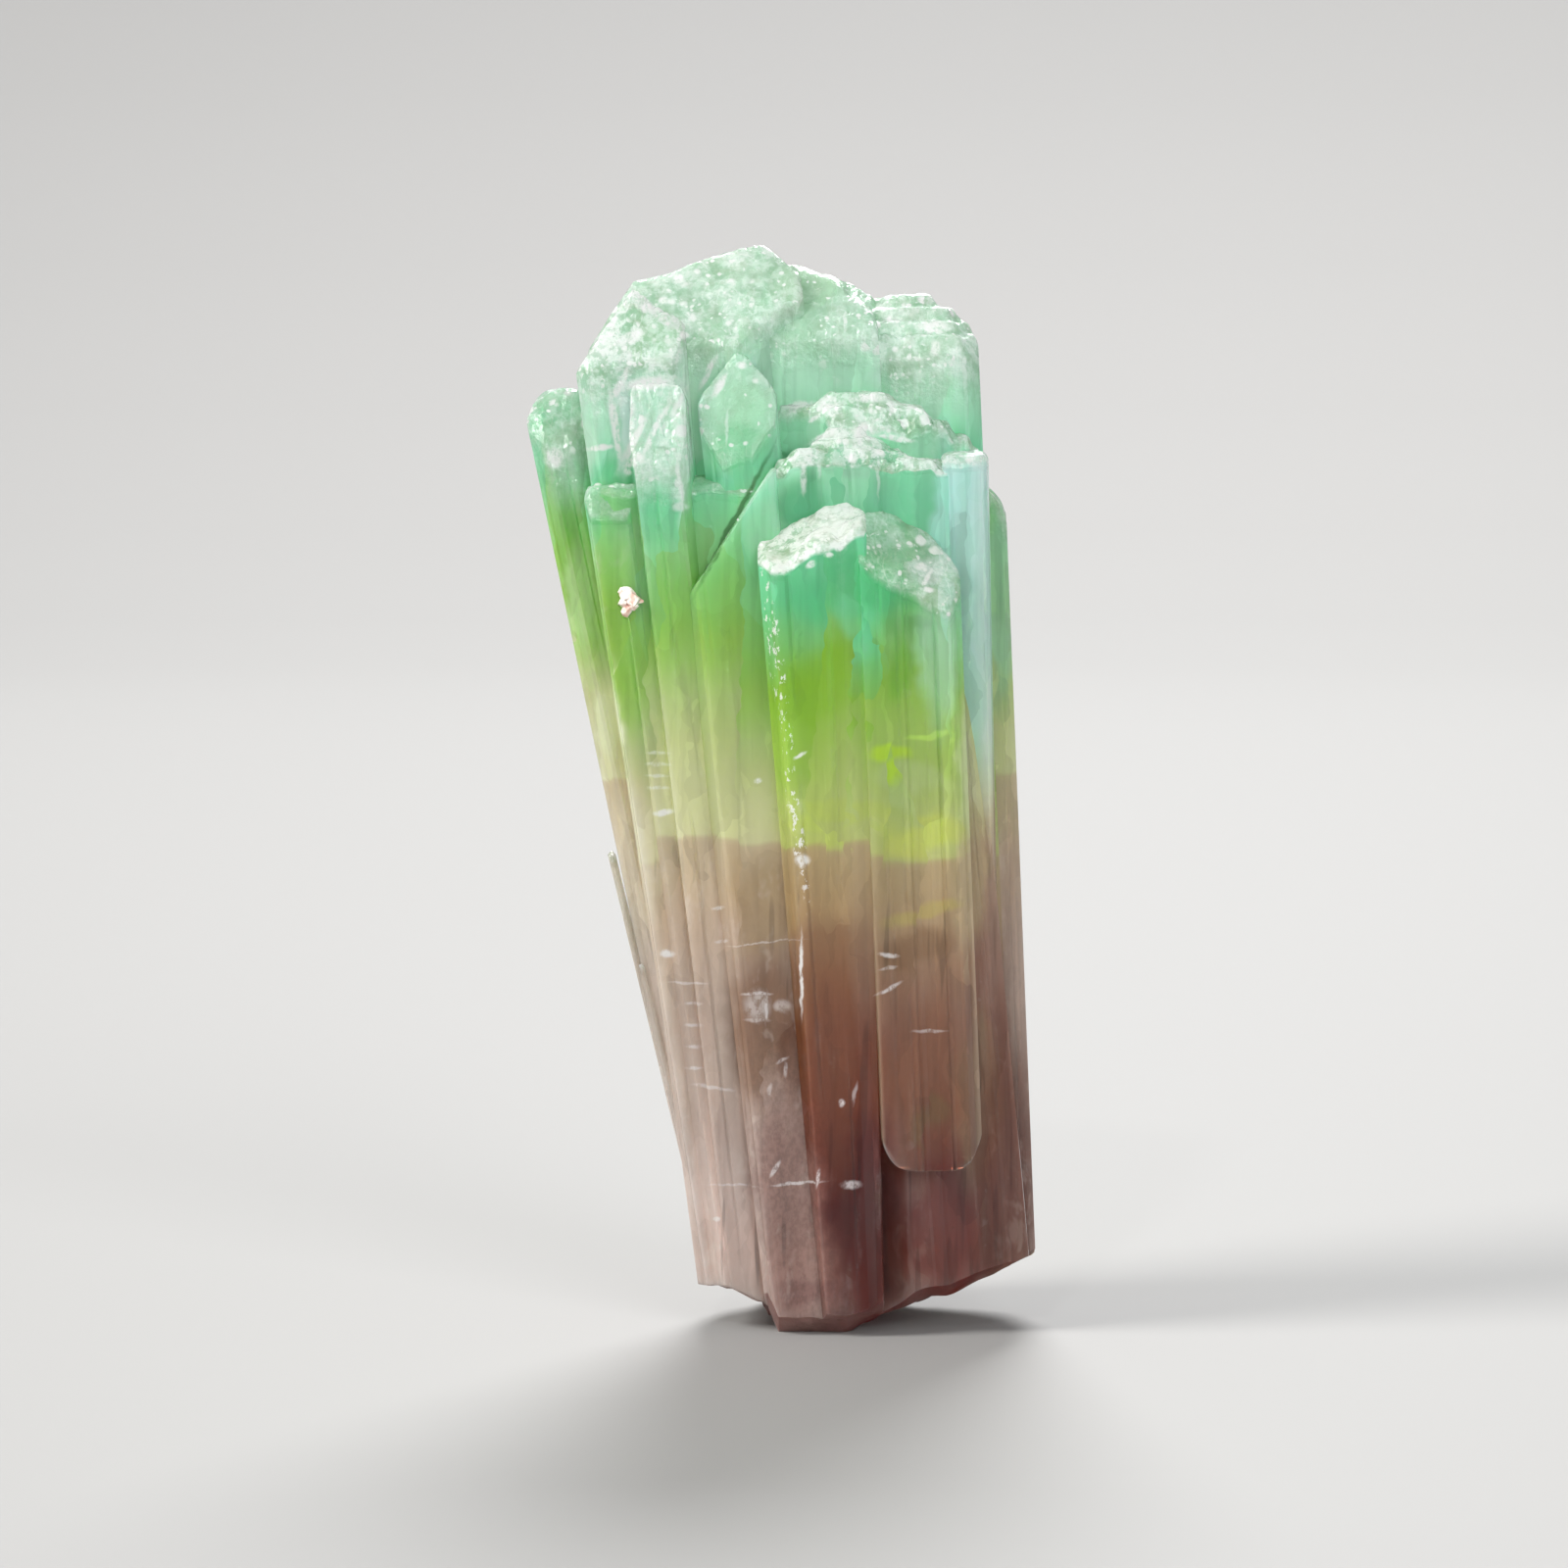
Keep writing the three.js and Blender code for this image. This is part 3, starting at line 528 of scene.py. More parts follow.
def vectorCalc(tree, operation, *values):
    node = add(tree, "VectorMath", {"operation": operation})
    for socket, value in zip(node.inputs, values):
        feed(tree, socket, value)
    return node.outputs


def scaled(tree, spot, scale):
    return vectorCalc(tree, "MULTIPLY", spot, scale)[0]


def span(tree, value, low, high, outLow=0.0, outHigh=1.0):
    node = add(tree, "MapRange", {"interpolation_type": "SMOOTHSTEP"})
    for socket, given in zip(node.inputs, (value, low, high, outLow, outHigh)):
        feed(tree, socket, given)
    return node.outputs[0]


def mix(tree, share, a, b, blendType="MIX"):
    node = add(tree, "Mix", {"data_type": "RGBA", "blend_type": blendType})
    for index, value in ((0, share), (6, a), (7, b)):
        feed(tree, node.inputs[index], value)
    return node.outputs[2]


def noise(tree, spot, scale, detail=2.0, rough=0.5, output="Fac"):
    node = add(tree, "TexNoise", Vector=spot, Scale=scale, Detail=detail, Roughness=rough)
    return node.outputs[output]


# lays a shade of the crystal over what is under it
def paint(tree, share, under, shade):
    return mix(tree, share, under, litAs(*shade))


# a value from 0 to 1 as a factor around 1
def varied(tree, value, amount):
    return timesPlus(tree, value, amount, 1 - amount / 2)


# colours along a value, from height and shade pairs
def ramp(tree, value, stops):
    node = add(tree, "ValToRGB")
    elements = node.color_ramp.elements
    elements.remove(elements[1])
    for index, (height, shade) in enumerate(stops):
        element = elements[0] if index == 0 else elements.new(height)
        element.position = height
        element.color = shade
    feed(tree, node.inputs[0], value)
    return node.outputs[0]


def attribute(tree, name):
    return add(tree, "Attribute", {"attribute_name": name}).outputs["Fac"]


def newMaterial(name):
    material = bpy.data.materials.new(name)
    material.use_nodes = True
    return material, material.node_tree, material.node_tree.nodes["Principled BSDF"]


def newGroup(name, inputs, outputs):
    tree = bpy.data.node_groups.new(name, "ShaderNodeTree")
    for socketName, kind, value in inputs:
        socket = tree.interface.new_socket(name=socketName, in_out="INPUT", socket_type="NodeSocket" + kind)
        socket.default_value = value
    for socketName, kind in outputs:
        tree.interface.new_socket(name=socketName, in_out="OUTPUT", socket_type="NodeSocket" + kind)
    return tree, tree.nodes.new("NodeGroupInput").outputs, tree.nodes.new("NodeGroupOutput").inputs


def placeGroup(tree, group, **inputs):
    return add(tree, "Group", {"node_tree": group}, **inputs).outputs


# a spot shaken about by noise, for ragged edges
def shaken(tree, spot, scale, amount):
    wave = noise(tree, spot, scale, output="Color")
    moved = vectorCalc(tree, "MULTIPLY_ADD", wave, (amount,) * 3, spot)[0]
    return vectorCalc(tree, "SUBTRACT", moved, (amount / 2,) * 3)[0]


# the spot seen from the front and turned to each slope that patches may have; lift moves it up
def turnedFrames(tree, spot, lift):
    frames = {0: vectorCalc(tree, "ADD", spot, add(tree, "CombineXYZ", Z=lift).outputs[0])[0]}
    for slope in (-28, -8, 8, 28):
        c, n = math.cos(math.radians(slope)), math.sin(math.radians(slope))
        across, along = (vectorCalc(tree, "DOT_PRODUCT", frames[0], axis)["Value"]
                         for axis in ((c, 0, n), (-n, 0, c)))
        frames[slope] = add(tree, "CombineXYZ", X=across, Z=along).outputs[0]
    return frames


# distance from the middle of an oval patch, 1 at its edge; sizes in millimetres
def patchDistance(tree, frames, x, z, halfX, halfZ, turn=0):
    angle = math.radians(turn)
    acrossMid = (x * math.cos(angle) + z * math.sin(angle)) / halfX
    alongMid = (z * math.cos(angle) - x * math.sin(angle)) / halfZ
    inside = vectorCalc(tree, "MULTIPLY_ADD", frames[turn], (1 / mm / halfX, 0, 1 / mm / halfZ),
                        (-acrossMid, 0, -alongMid))
    return vectorCalc(tree, "LENGTH", inside[0])["Value"]


def nearestPatch(tree, frames, patches):
    distance = 9.0
    for patch in patches:
        distance = calc(tree, "MINIMUM", distance, patchDistance(tree, frames, *patch))
    return distance


def softPatch(tree, frames, patch, strength, softness):
    return span(tree, patchDistance(tree, frames, *patch), 1 - softness, 1 + softness, strength, 0.0)


# fine grains: bright specks of painted glint, dark pits and a height for the bump
def makeGrainGroup():
    tree, given, out = newGroup("grains", [("Place", "Vector", (0, 0, 0)), ("Size", "Float", 0.0003),
                                           ("Plenty", "Float", 0.5)],
                                [("GlintSpecks", "Float"), ("Pits", "Float"), ("Height", "Float")])
    scale = calc(tree, "DIVIDE", 1.0, given["Size"])
    cells = add(tree, "TexVoronoi", {"feature": "F1"}, Vector=given["Place"], Scale=scale)
    value, other = add(tree, "SeparateColor", Color=cells.outputs["Color"]).outputs[:2]
    clusters = span(tree, noise(tree, given["Place"], times(tree, scale, 0.18), 2.0), 0.42, 0.62)
    chosen = calc(tree, "GREATER_THAN", value,
                  calc(tree, "SUBTRACT", 0.98, times(tree, clusters, given["Plenty"])))
    near = span(tree, timesPlus(tree, other, 0.35, cells.outputs["Distance"]), 0.3, 0.6, 1.0, 0.0)
    pits = span(tree, noise(tree, given["Place"], times(tree, scale, 0.5), 3.0), 0.5, 0.32)
    feed(tree, out["GlintSpecks"], times(tree, chosen, near))
    feed(tree, out["Pits"], pits)
    feed(tree, out["Height"], times(tree, value, near))
    return tree


grainGroup = makeGrainGroup()

# colour zones by height in millimetres, pale on the left crystals and deep on the front ones
zones = dict(
    tallest=62,
    pale=[(0, (198, 178, 170)), (5, (192, 174, 164)), (8, (203, 187, 178)), (12, (197, 181, 170)),
          (15, (204, 190, 177)), (19, (202, 188, 174)), (24, (198, 181, 162)), (27.8, (194, 180, 155)),
          (28.1, (212, 209, 174)), (30.4, (206, 203, 168)), (32.4, (200, 198, 156)), (34.4, (184, 194, 146)),
          (36.4, (158, 192, 110)), (38.6, (138, 180, 82)), (41, (138, 184, 86)), (44, (142, 196, 120)),
          (46.4, (126, 196, 140)), (48.4, (120, 200, 156)), (50.6, (162, 212, 180)), (53, (186, 222, 202)),
          (62, (196, 226, 206))],
    deep=[(0, (84, 40, 38)), (3.5, (92, 50, 46)), (7, (82, 40, 36)), (11, (92, 48, 40)), (13, (104, 60, 50)),
          (17, (114, 72, 58)), (20.8, (125, 92, 72)), (23, (134, 106, 82)), (24.6, (151, 128, 97)),
          (27.8, (161, 144, 109)), (28.1, (166, 176, 104)), (30.6, (160, 178, 100)), (32.6, (142, 174, 80)),
          (35, (140, 178, 76)), (37.4, (128, 170, 66)), (39.6, (118, 180, 108)), (42, (102, 184, 134)),
          (46, (112, 190, 150)), (49, (122, 196, 158)), (52, (146, 208, 172)), (62, (178, 212, 186))],
    wobble=0.8,  # how far the borders wave up and down
)

# Soft patches of other colours on the front, some of them painted light and painted reflection as
# noted, in millimetres: x, z, half width, half height and, if any, turn, then shade and strength.
# A later patch lies over an earlier one.
stains = [
    # lime glow on the border, flashes above it and the olive line below
    (7.9, 28.7, 2.4, 0.9, (188, 198, 100), 0.7),
    (3.4, 29.4, 3, 0.6, (172, 188, 88), 0.4),
    (5.9, 32.6, 1.1, 0.5, 8, (172, 208, 56), 0.75),
    (8.1, 33.9, 1.3, 0.2, 8, (190, 228, 110), 0.6),
    (7.2, 31.4, 2, 0.8, (178, 192, 148), 0.35),
    (8.1, 24.4, 2.2, 0.5, 8, (170, 158, 100), 0.7),
    # teal under the front caps, grass green below, and a pale column on the right that is a
    # painted reflection
    (3.6, 42, 3.2, 1.6, (84, 178, 122), 0.7),
    (4, 40.3, 1.2, 1.2, (118, 202, 156), 0.5),
    (2, 36.6, 2, 2.4, (122, 170, 44), 0.6),
    (6.5, 37.6, 0.7, 1.8, (112, 172, 66), 0.6),
    (8.7, 39, 1.2, 4.4, (164, 210, 176), 0.7),
    # right edge beside and below the blade; the pale blue beside the blade and the blue-white mark
    # under the front right cap are painted reflection
    (12.4, 42, 1, 5.5, (148, 196, 162), 0.8),
    (9.2, 46.2, 0.8, 4.5, (168, 220, 210), 0.8),
    (7.9, 43.2, 1.2, 0.9, (208, 236, 228), 0.85),
    (10.9, 33, 1, 4.4, (202, 206, 170), 0.7),
    (10.6, 25.5, 1, 3.6, (172, 156, 124), 0.7),
    # the left edge painted paler: painted light from the left
    (-11.6, 42, 0.9, 2.6, (182, 210, 156), 0.6),
    (-10, 35, 0.8, 2.2, (222, 228, 190), 0.7),
    (-8.6, 26.4, 1.4, 4.5, (212, 202, 178), 0.6),
    # icy left caps and the green below them; the two narrow pale columns are painted light over
    # the shadow in the grooves beside the icy caps
    (-7.6, 51, 2.6, 2.6, (192, 228, 210), 0.6),
    (-2.8, 50, 1.7, 1.3, (128, 194, 148), 0.7),
    (-8.6, 48.2, 2.3, 1, (114, 196, 148), 0.7),
    (-11.6, 50.3, 0.9, 1.3, (182, 218, 194), 0.7),
    # painted light in the grooves beside the icy caps
    (-5.5, 50.8, 0.5, 4, (204, 236, 212), 0.9),
    (-8.9, 51.6, 0.4, 3.4, (212, 238, 226), 0.9),
    (-12, 49.5, 1.4, 2.2, (172, 214, 186), 0.7),
    # behind the front crystal, under the ledges
    (-0.9, 46.6, 1.4, 1.8, (154, 200, 164), 0.6),
    (4.6, 49.8, 2.6, 0.6, (146, 192, 166), 0.7),
    (0.9, 47.7, 1.3, 1.7, (74, 156, 108), 0.75),
    # beige and brown of the middle
    (7.4, 22.2, 1.9, 1, (124, 98, 74), 0.5),
    (-1, 25, 2.1, 2.6, (160, 136, 100), 0.6),
    (-0.9, 18.2, 2.3, 4.2, (116, 86, 66), 0.8),
    (0.5, 15.6, 0.9, 3, (98, 64, 50), 0.7),
    (10.9, 13, 1.3, 4.6, (138, 116, 94), 0.7),
    # pink left foot, grey-mauve front lobe, darkest wine, brown right side and the tongue
    (-3, 4.6, 1.8, 4.6, (206, 186, 176), 0.6),
    (0.5, 6.2, 1.9, 6.8, 8, (137, 110, 103), 0.8),
    (1.1, 2.4, 1.5, 0.8, -8, (104, 76, 76), 0.4),
    (4.7, 6.5, 1.7, 4.6, (70, 34, 30), 0.6),
    (2.6, 14, 1.5, 5.5, (112, 80, 66), 0.6),
    (9, 6, 2.4, 3.4, (96, 48, 42), 0.6),
    (12.7, 8, 1.8, 9, (90, 56, 40), 0.7),
    (8.1, 14.2, 2.4, 4.8, (124, 90, 72), 0.6),
    (8.2, 12.2, 1, 1, (110, 110, 78), 0.3),
]

# the same for the etched caps, where the white skin is thin and a colour shows through; on the
# ledges of the second terrace the dark patches are painted shade
capTintsAndShade = [
    # tallest cap
    (-5, 56.2, 3.6, 1.3, (150, 182, 150), 0.7),
    (1.5, 59.7, 2, 1.2, (138, 166, 132), 0.85),
    (-7.2, 56, 1.1, 0.8, (136, 168, 132), 0.9),
    # icy left caps
    (-8.4, 52.3, 2.4, 1.7, (180, 216, 198), 0.6),
    (-5.6, 50.8, 0.8, 2.4, (178, 218, 194), 0.6),
    (-5, 53.1, 0.5, 1.2, (120, 200, 176), 0.6),
    (-11.6, 54.1, 0.8, 0.8, (128, 168, 138), 0.8),
    # dome
    (-1.5, 55, 1.6, 0.9, (136, 194, 156), 0.6),
    (-2.4, 52.3, 1.5, 1.4, (156, 194, 160), 0.7),
    (-2.6, 50.2, 1.3, 1, (104, 168, 126), 0.75),
    # ledges of the second terrace: painted shade in the gaps between them and over their tops
    (1.6, 51.7, 1.1, 0.6, 28, (84, 120, 74), 0.75),
    (0.3, 49.8, 0.5, 1, -28, (92, 136, 88), 0.7),
    (7.2, 51.6, 1.5, 0.55, -28, (108, 146, 104), 0.75),
    (9.2, 50.8, 0.8, 0.7, -28, (140, 184, 150), 0.7),
    (7.8, 52.1, 1.8, 0.7, (118, 150, 120), 0.8),
    (4.4, 49.9, 2.4, 0.65, (114, 168, 136), 0.95),
    # right front cap
    (6.2, 45.2, 1.8, 0.9, -28, (166, 196, 162), 0.6),
]

# painted glints where a crack or a chipped edge catches the light, by strength
glintPatches = {
    1.0: [(-9.5, 51.6, 0.22, 2, 8), (-7.6, 54, 1.4, 0.35, 8), (-8.5, 50.6, 0.2, 1.5, -28),
          (-7.2, 51.4, 0.18, 1.5, -28), (-9.3, 53.8, 0.2, 1.1, -28), (-10.4, 50.4, 0.8, 0.16, 8),
          (-4.3, 54.6, 0.16, 0.9, -28), (-8.5, 49.6, 0.7, 0.3, 28), (-13, 49.8, 0.5, 0.5),
          (-8.8, 49, 0.22, 0.22), (-3.6, 53.9, 0.2, 0.7, -28), (-2.4, 55, 0.3, 0.17),
          (-7.8, 58.3, 0.3, 0.26), (-6.8, 58.7, 0.26, 0.18, 8), (-6, 60, 0.28, 0.2),
          (-4.9, 60.4, 0.18, 0.14), (-5.2, 57.7, 0.22, 0.18), (-3, 59.8, 0.26, 0.17, 8),
          (-1.8, 58.6, 0.16, 0.3), (-3.1, 57.4, 0.16, 0.12), (-8.6, 56.6, 0.8, 0.3, 28),
          (-5.6, 56.7, 0.2, 0.22), (8.5, 57.2, 0.8, 0.4), (2.6, 52.8, 0.6, 0.45),
          (4.8, 53.2, 1, 0.25), (6.1, 52.8, 0.25, 0.2), (1.7, 52, 0.3, 0.14, 28),
          (0.9, 52.8, 0.8, 0.2, 8), (7.6, 52.5, 0.9, 0.1, -28), (2.2, 51, 0.9, 0.16, 28),
          (6.3, 50.9, 1, 0.16, -8), (4.5, 51.3, 0.6, 0.45), (1.5, 43.9, 0.3, 0.15, 28),
          (2.5, 44.4, 0.22, 0.14), (7.6, 43.8, 0.3, 0.16), (8, 43.1, 0.12, 0.5, -28),
          (8, 42.5, 0.4, 0.13, -8), (-1.46, 31.7, 0.2, 0.18), (-6.8, 29.8, 0.5, 0.18, 8),
          (1.05, 27.3, 0.34, 0.34), (0.9, 33.2, 0.35, 0.1, 28), (-6.6, 21.7, 0.36, 0.2),
          (1, 20.8, 0.09, 2.1), (3.3, 13.5, 0.15, 0.2)],
    0.7: [(-6.1, 52.6, 0.16, 1.4, -28), (-5.8, 48.3, 0.15, 1.2, 8), (-5.8, 47.1, 0.4, 0.25),
          (3.5, 57.5, 0.12, 0.5), (8.6, 56, 0.25, 0.4), (7.3, 55.4, 0.5, 0.12),
          (1.1, 48.7, 0.17, 0.85), (-1.5, 19.6, 0.7, 0.1), (-1, 18.8, 0.09, 0.8),
          (5.9, 21.9, 0.5, 0.13, -8), (5.9, 20, 0.75, 0.11, 28), (0.8, 8.8, 1.3, 0.08, 8),
          (3.8, 8.8, 0.5, 0.22), (-3.8, 6.5, 0.16, 0.12), (-3.7, 24.4, 0.3, 0.1, 8),
          (-0.5, 9.6, 0.1, 0.5, -28), (1.9, 9.2, 0.1, 0.5, -8)],
    0.45: [(-3.2, 51.5, 0.1, 0.9), (2, 49.3, 0.11, 0.5), (5.3, 49, 0.1, 1.3),
           (-1.5, 18.9, 0.65, 0.8), (-1.5, 18.1, 0.6, 0.14), (-0.1, 18.9, 0.45, 0.3),
           (5.9, 21.2, 0.45, 0.1, 8), (8.2, 17.6, 0.85, 0.1), (4, 14, 0.1, 0.6, -8),
           (-2.9, 8.5, 1.2, 0.07), (-1.1, 22.5, 1.9, 0.05, 8), (-3.5, 22.5, 0.35, 0.1, 8),
           (-0.1, 15.8, 0.35, 0.1, 28), (0.1, 15.3, 0.1, 0.4), (-0.8, 14.1, 0.12, 0.35, -8),
           (-5.4, 20.1, 1, 0.08), (-4, 14.1, 1.05, 0.1, -8)],
}
shadedCrease = (-2.8, 46.3, 0.16, 4.1, -28)  # dark line down to the left: painted shade in the crease between crystals
sparkle = [(-0.4, 38.6, 0.4, 5.4, 8), (0.7, 29.5, 0.35, 4.6, 8)]  # painted glints along the crumbled edge of the front crystal
veinedLobe = (0.6, 8, 2, 10, 8)  # the front lobe's veined lower half
# ladder-like rows of short cracks, each rung a painted glint
ladders = [dict(x=-5.1, top=18.9, bottom=15.2, half=0.42), dict(x=-7.1, top=33.2, bottom=31.2, half=0.6)]
for ladder in ladders:
    for rung in range(4):
        rungZ = blend(ladder["top"], ladder["bottom"], rung / 3)
        glintPatches[0.45].append((ladder["x"], rungZ, ladder["half"], 0.1))

tourmaline = dict(
    ior=1.63, transmission=0.5, specular=0.2, scatter=1, scatterDepth=0.003,
    relief=0.5, reliefHeight=0.00012, brokenRoughness=0.75,
    panes=0.22, slivers=0.14, bands=0.06, hairs=0.3, flakes=0.45, veins=0.13,  # strength of each
    # the first shade here is the pale blue of the blade's painted reflection
    # the fourth shade is the dark green of the painted shade along the crease
    # the second shade is the light colour of the tongue's painted highlight
    skyReflection=(188, 232, 224), tongueEdgeHighlight=(196, 176, 146), flake=(206, 194, 184), creaseShade=(58, 98, 50),
    frostWhite=(238, 247, 242), frostDull=(128, 165, 134), pit=(112, 142, 104), dustPit=(134, 142, 116),
    # the near white of the painted glints
    glintWhite=(252, 253, 250),
)


# Voronoi cells drawn out upright, as if each were seen through another face
def uprightPanes(tree, bent, flatness, scale):
    flat = scaled(tree, bent, (1, 1, flatness))
    cells = add(tree, "TexVoronoi", {"feature": "F1"}, Vector=flat, Scale=scale)
    return add(tree, "SeparateColor", Color=cells.outputs["Color"]).outputs


# the zones with wavy borders, which jump a little between panes, and cloudy changes of depth
def zonedColour(tree, spot, leaning, growth, shift):
    wave = timesPlus(tree, noise(tree, spot, 210, 3.0), 2 * zones["wobble"], -zones["wobble"])
    jump = times(tree, shift, span(tree, growth, 28.0, 36.0, 0.5, 4.0))
    share = calc(tree, "DIVIDE", calc(tree, "ADD", calc(tree, "ADD", growth, wave), jump), zones["tallest"])
    pale, deep = (ramp(tree, share, [(z / zones["tallest"], litAs(*shade)) for z, shade in zones[name]])
                  for name in ("pale", "deep"))
    cloud = timesPlus(tree, noise(tree, leaning, 260, 3.0), 0.8, -0.4)
    depth = calc(tree, "ADD", attribute(tree, "depth"), cloud, clamp=True)
    return mix(tree, depth, pale, deep), depth


# grey-green to white frost with granular patches, thin cracks and dark pits; returns its specks of
# painted glint too
def frostedCaps(tree, spot, loose, leaning, wide, skin):
    rime = attribute(tree, "rime")
    plenty = timesPlus(tree, rime, 0.75, 0.2)
    grains = placeGroup(tree, grainGroup, Place=loose, Size=0.0008, Plenty=plenty)
    dust = placeGroup(tree, grainGroup, Place=loose, Size=0.00036, Plenty=plenty)
    patches = timesPlus(tree, noise(tree, spot, 420, 2.0), 2.0, -1.0)
    crumbs = span(tree, noise(tree, spot, 2100, 3.0, 0.65), 0.4, 0.6, -0.45, 0.55)
    crumbs = times(tree, crumbs, rime)
    cracks = calc(tree, "ABSOLUTE", calc(tree, "SUBTRACT", noise(tree, leaning, 620, 3.0), 0.5))
    cracks = span(tree, cracks, 0.0, 0.02, 0.3, 0.0)
    whiteness = timesPlus(tree, rime, 0.95, calc(tree, "ADD", patches, crumbs))
    whiteness = calc(tree, "ADD", whiteness, cracks, clamp=True)
    dull, tintOrShade = litAs(*tourmaline["frostDull"]), 0.0
    # each patch tints the dull frost and thins the white; on the second terrace's ledges this is painted
    # shade
    for *patch, shade, strength in capTintsAndShade:
        inside = softPatch(tree, wide, patch, strength, 0.4)
        dull = paint(tree, inside, dull, shade)
        tintOrShade = calc(tree, "MAXIMUM", tintOrShade, inside)
    whiteness = timesPlus(tree, tintOrShade, -0.55, whiteness, clamp=True)
    tone = paint(tree, whiteness, dull, tourmaline["frostWhite"])
    tone = paint(tree, times(tree, grains["Pits"], 0.5), tone, tourmaline["pit"])
    tone = paint(tree, times(tree, dust["Pits"], 0.35), tone, tourmaline["dustPit"])
    cover = times(tree, skin, timesPlus(tree, rime, 0.55, 0.42), clamp=True)
    glintSpecks = times(tree, calc(tree, "MAXIMUM", grains["GlintSpecks"], dust["GlintSpecks"]), skin)
    return tone, cover, glintSpecks


# how bright the painted glints on the cracks, chips and the crumbled edge are, broken up into grains
def paintedGlintMarks(tree, narrow, crumble):
    edge = span(tree, nearestPatch(tree, narrow, sparkle), 0.7, 1.3, 1.0, 0.0)
    paintedGlint = times(tree, edge, span(tree, crumble, 0.56, 0.62))
    for strength, patches in glintPatches.items():
        shine = span(tree, nearestPatch(tree, narrow, patches), 0.5, 1.5, strength, 0.0)
        paintedGlint = calc(tree, "MAXIMUM", paintedGlint, shine)
    return times(tree, paintedGlint, span(tree, crumble, 0.34, 0.54, 0.3, 1.0))


# upright streaks: broad soft bands, fine lines, and below the border dark hairs, pale flakes and
# veins; returns the bands, lines and crumbs for others to use
def streakedColour(tree, spot, bent, wide, growth, depth, tone, body):
    upright = scaled(tree, spot, (1, 1, 0.03))
    bands = span(tree, noise(tree, upright, 700, 2.0), 0.35, 0.65,
                 1 - tourmaline["bands"], 1 + tourmaline["bands"])
    ribs = span(tree, noise(tree, upright, 2600, 1.0), 0.3, 0.45, 0.93, 1.0)
    low = span(tree, growth, 30.0, 24.0, 0.35, 1.0)
    hairs = span(tree, noise(tree, scaled(tree, spot, (1, 1, 0.07)), 1500, 1.0), 0.34, 0.28)
    hairs = times(tree, hairs, low)
    flakes = noise(tree, scaled(tree, bent, (1, 1, 0.45)), 700, 3.0, 0.65)
    flakes = span(tree, flakes, 0.55, 0.68, 0.0, tourmaline["flakes"])
    flakes = times(tree, flakes, timesPlus(tree, depth, -1.2, low, clamp=True))
    body = paint(tree, flakes, body, tourmaline["flake"])
    crumble = noise(tree, scaled(tree, spot, (1, 1, 0.6)), 3000, 3.0, 0.7)
    veined = span(tree, patchDistance(tree, wide, *veinedLobe), 0.6, 1.3, 1.0, 0.12)
    veins = span(tree, crumble, 0.36, 0.64, -tourmaline["veins"], tourmaline["veins"])
    veins = times(tree, veins, times(tree, veined, low))
    lines = timesPlus(tree, hairs, -tourmaline["hairs"], ribs)
    lines = times(tree, lines, calc(tree, "ADD", veins, 1.0))
    tone = times(tree, tone, times(tree, bands, lines))
    return mix(tree, 1.0, body, tone, "MULTIPLY"), bands, ribs, crumble


# glassy sides, duller frost and broken foot; relief from the etching and the fine lines
def crystalSurface(tree, shader, spot, frost, skin, bands, ribs):
    broken = times(tree, attribute(tree, "broken"), tourmaline["brokenRoughness"])
    rough = calc(tree, "ADD", times(tree, skin, 0.12), span(tree, bands, 0.8, 1.1, 0.15, 0.08))
    feed(tree, shader.inputs["Roughness"], calc(tree, "MAXIMUM", rough, broken))
    etched = times(tree, frost, 3.0, clamp=True)
    grit = times(tree, noise(tree, spot, 1300, 4.0, 0.65), etched)
    height = timesPlus(tree, grit, 3.5, times(tree, ribs, 0.25))
    bump = add(tree, "Bump", Strength=tourmaline["relief"], Distance=tourmaline["reliefHeight"],
               Height=height)
    feed(tree, shader.inputs["Normal"], bump.outputs[0])
    for socket, value in (("IOR", "ior"), ("Transmission Weight", "transmission"),
                          ("Specular IOR Level", "specular"), ("Subsurface Weight", "scatter"),
                          ("Subsurface Scale", "scatterDepth")):
        shader.inputs[socket].default_value = tourmaline[value]
    shader.inputs["Subsurface Radius"].default_value = (1, 1, 1)


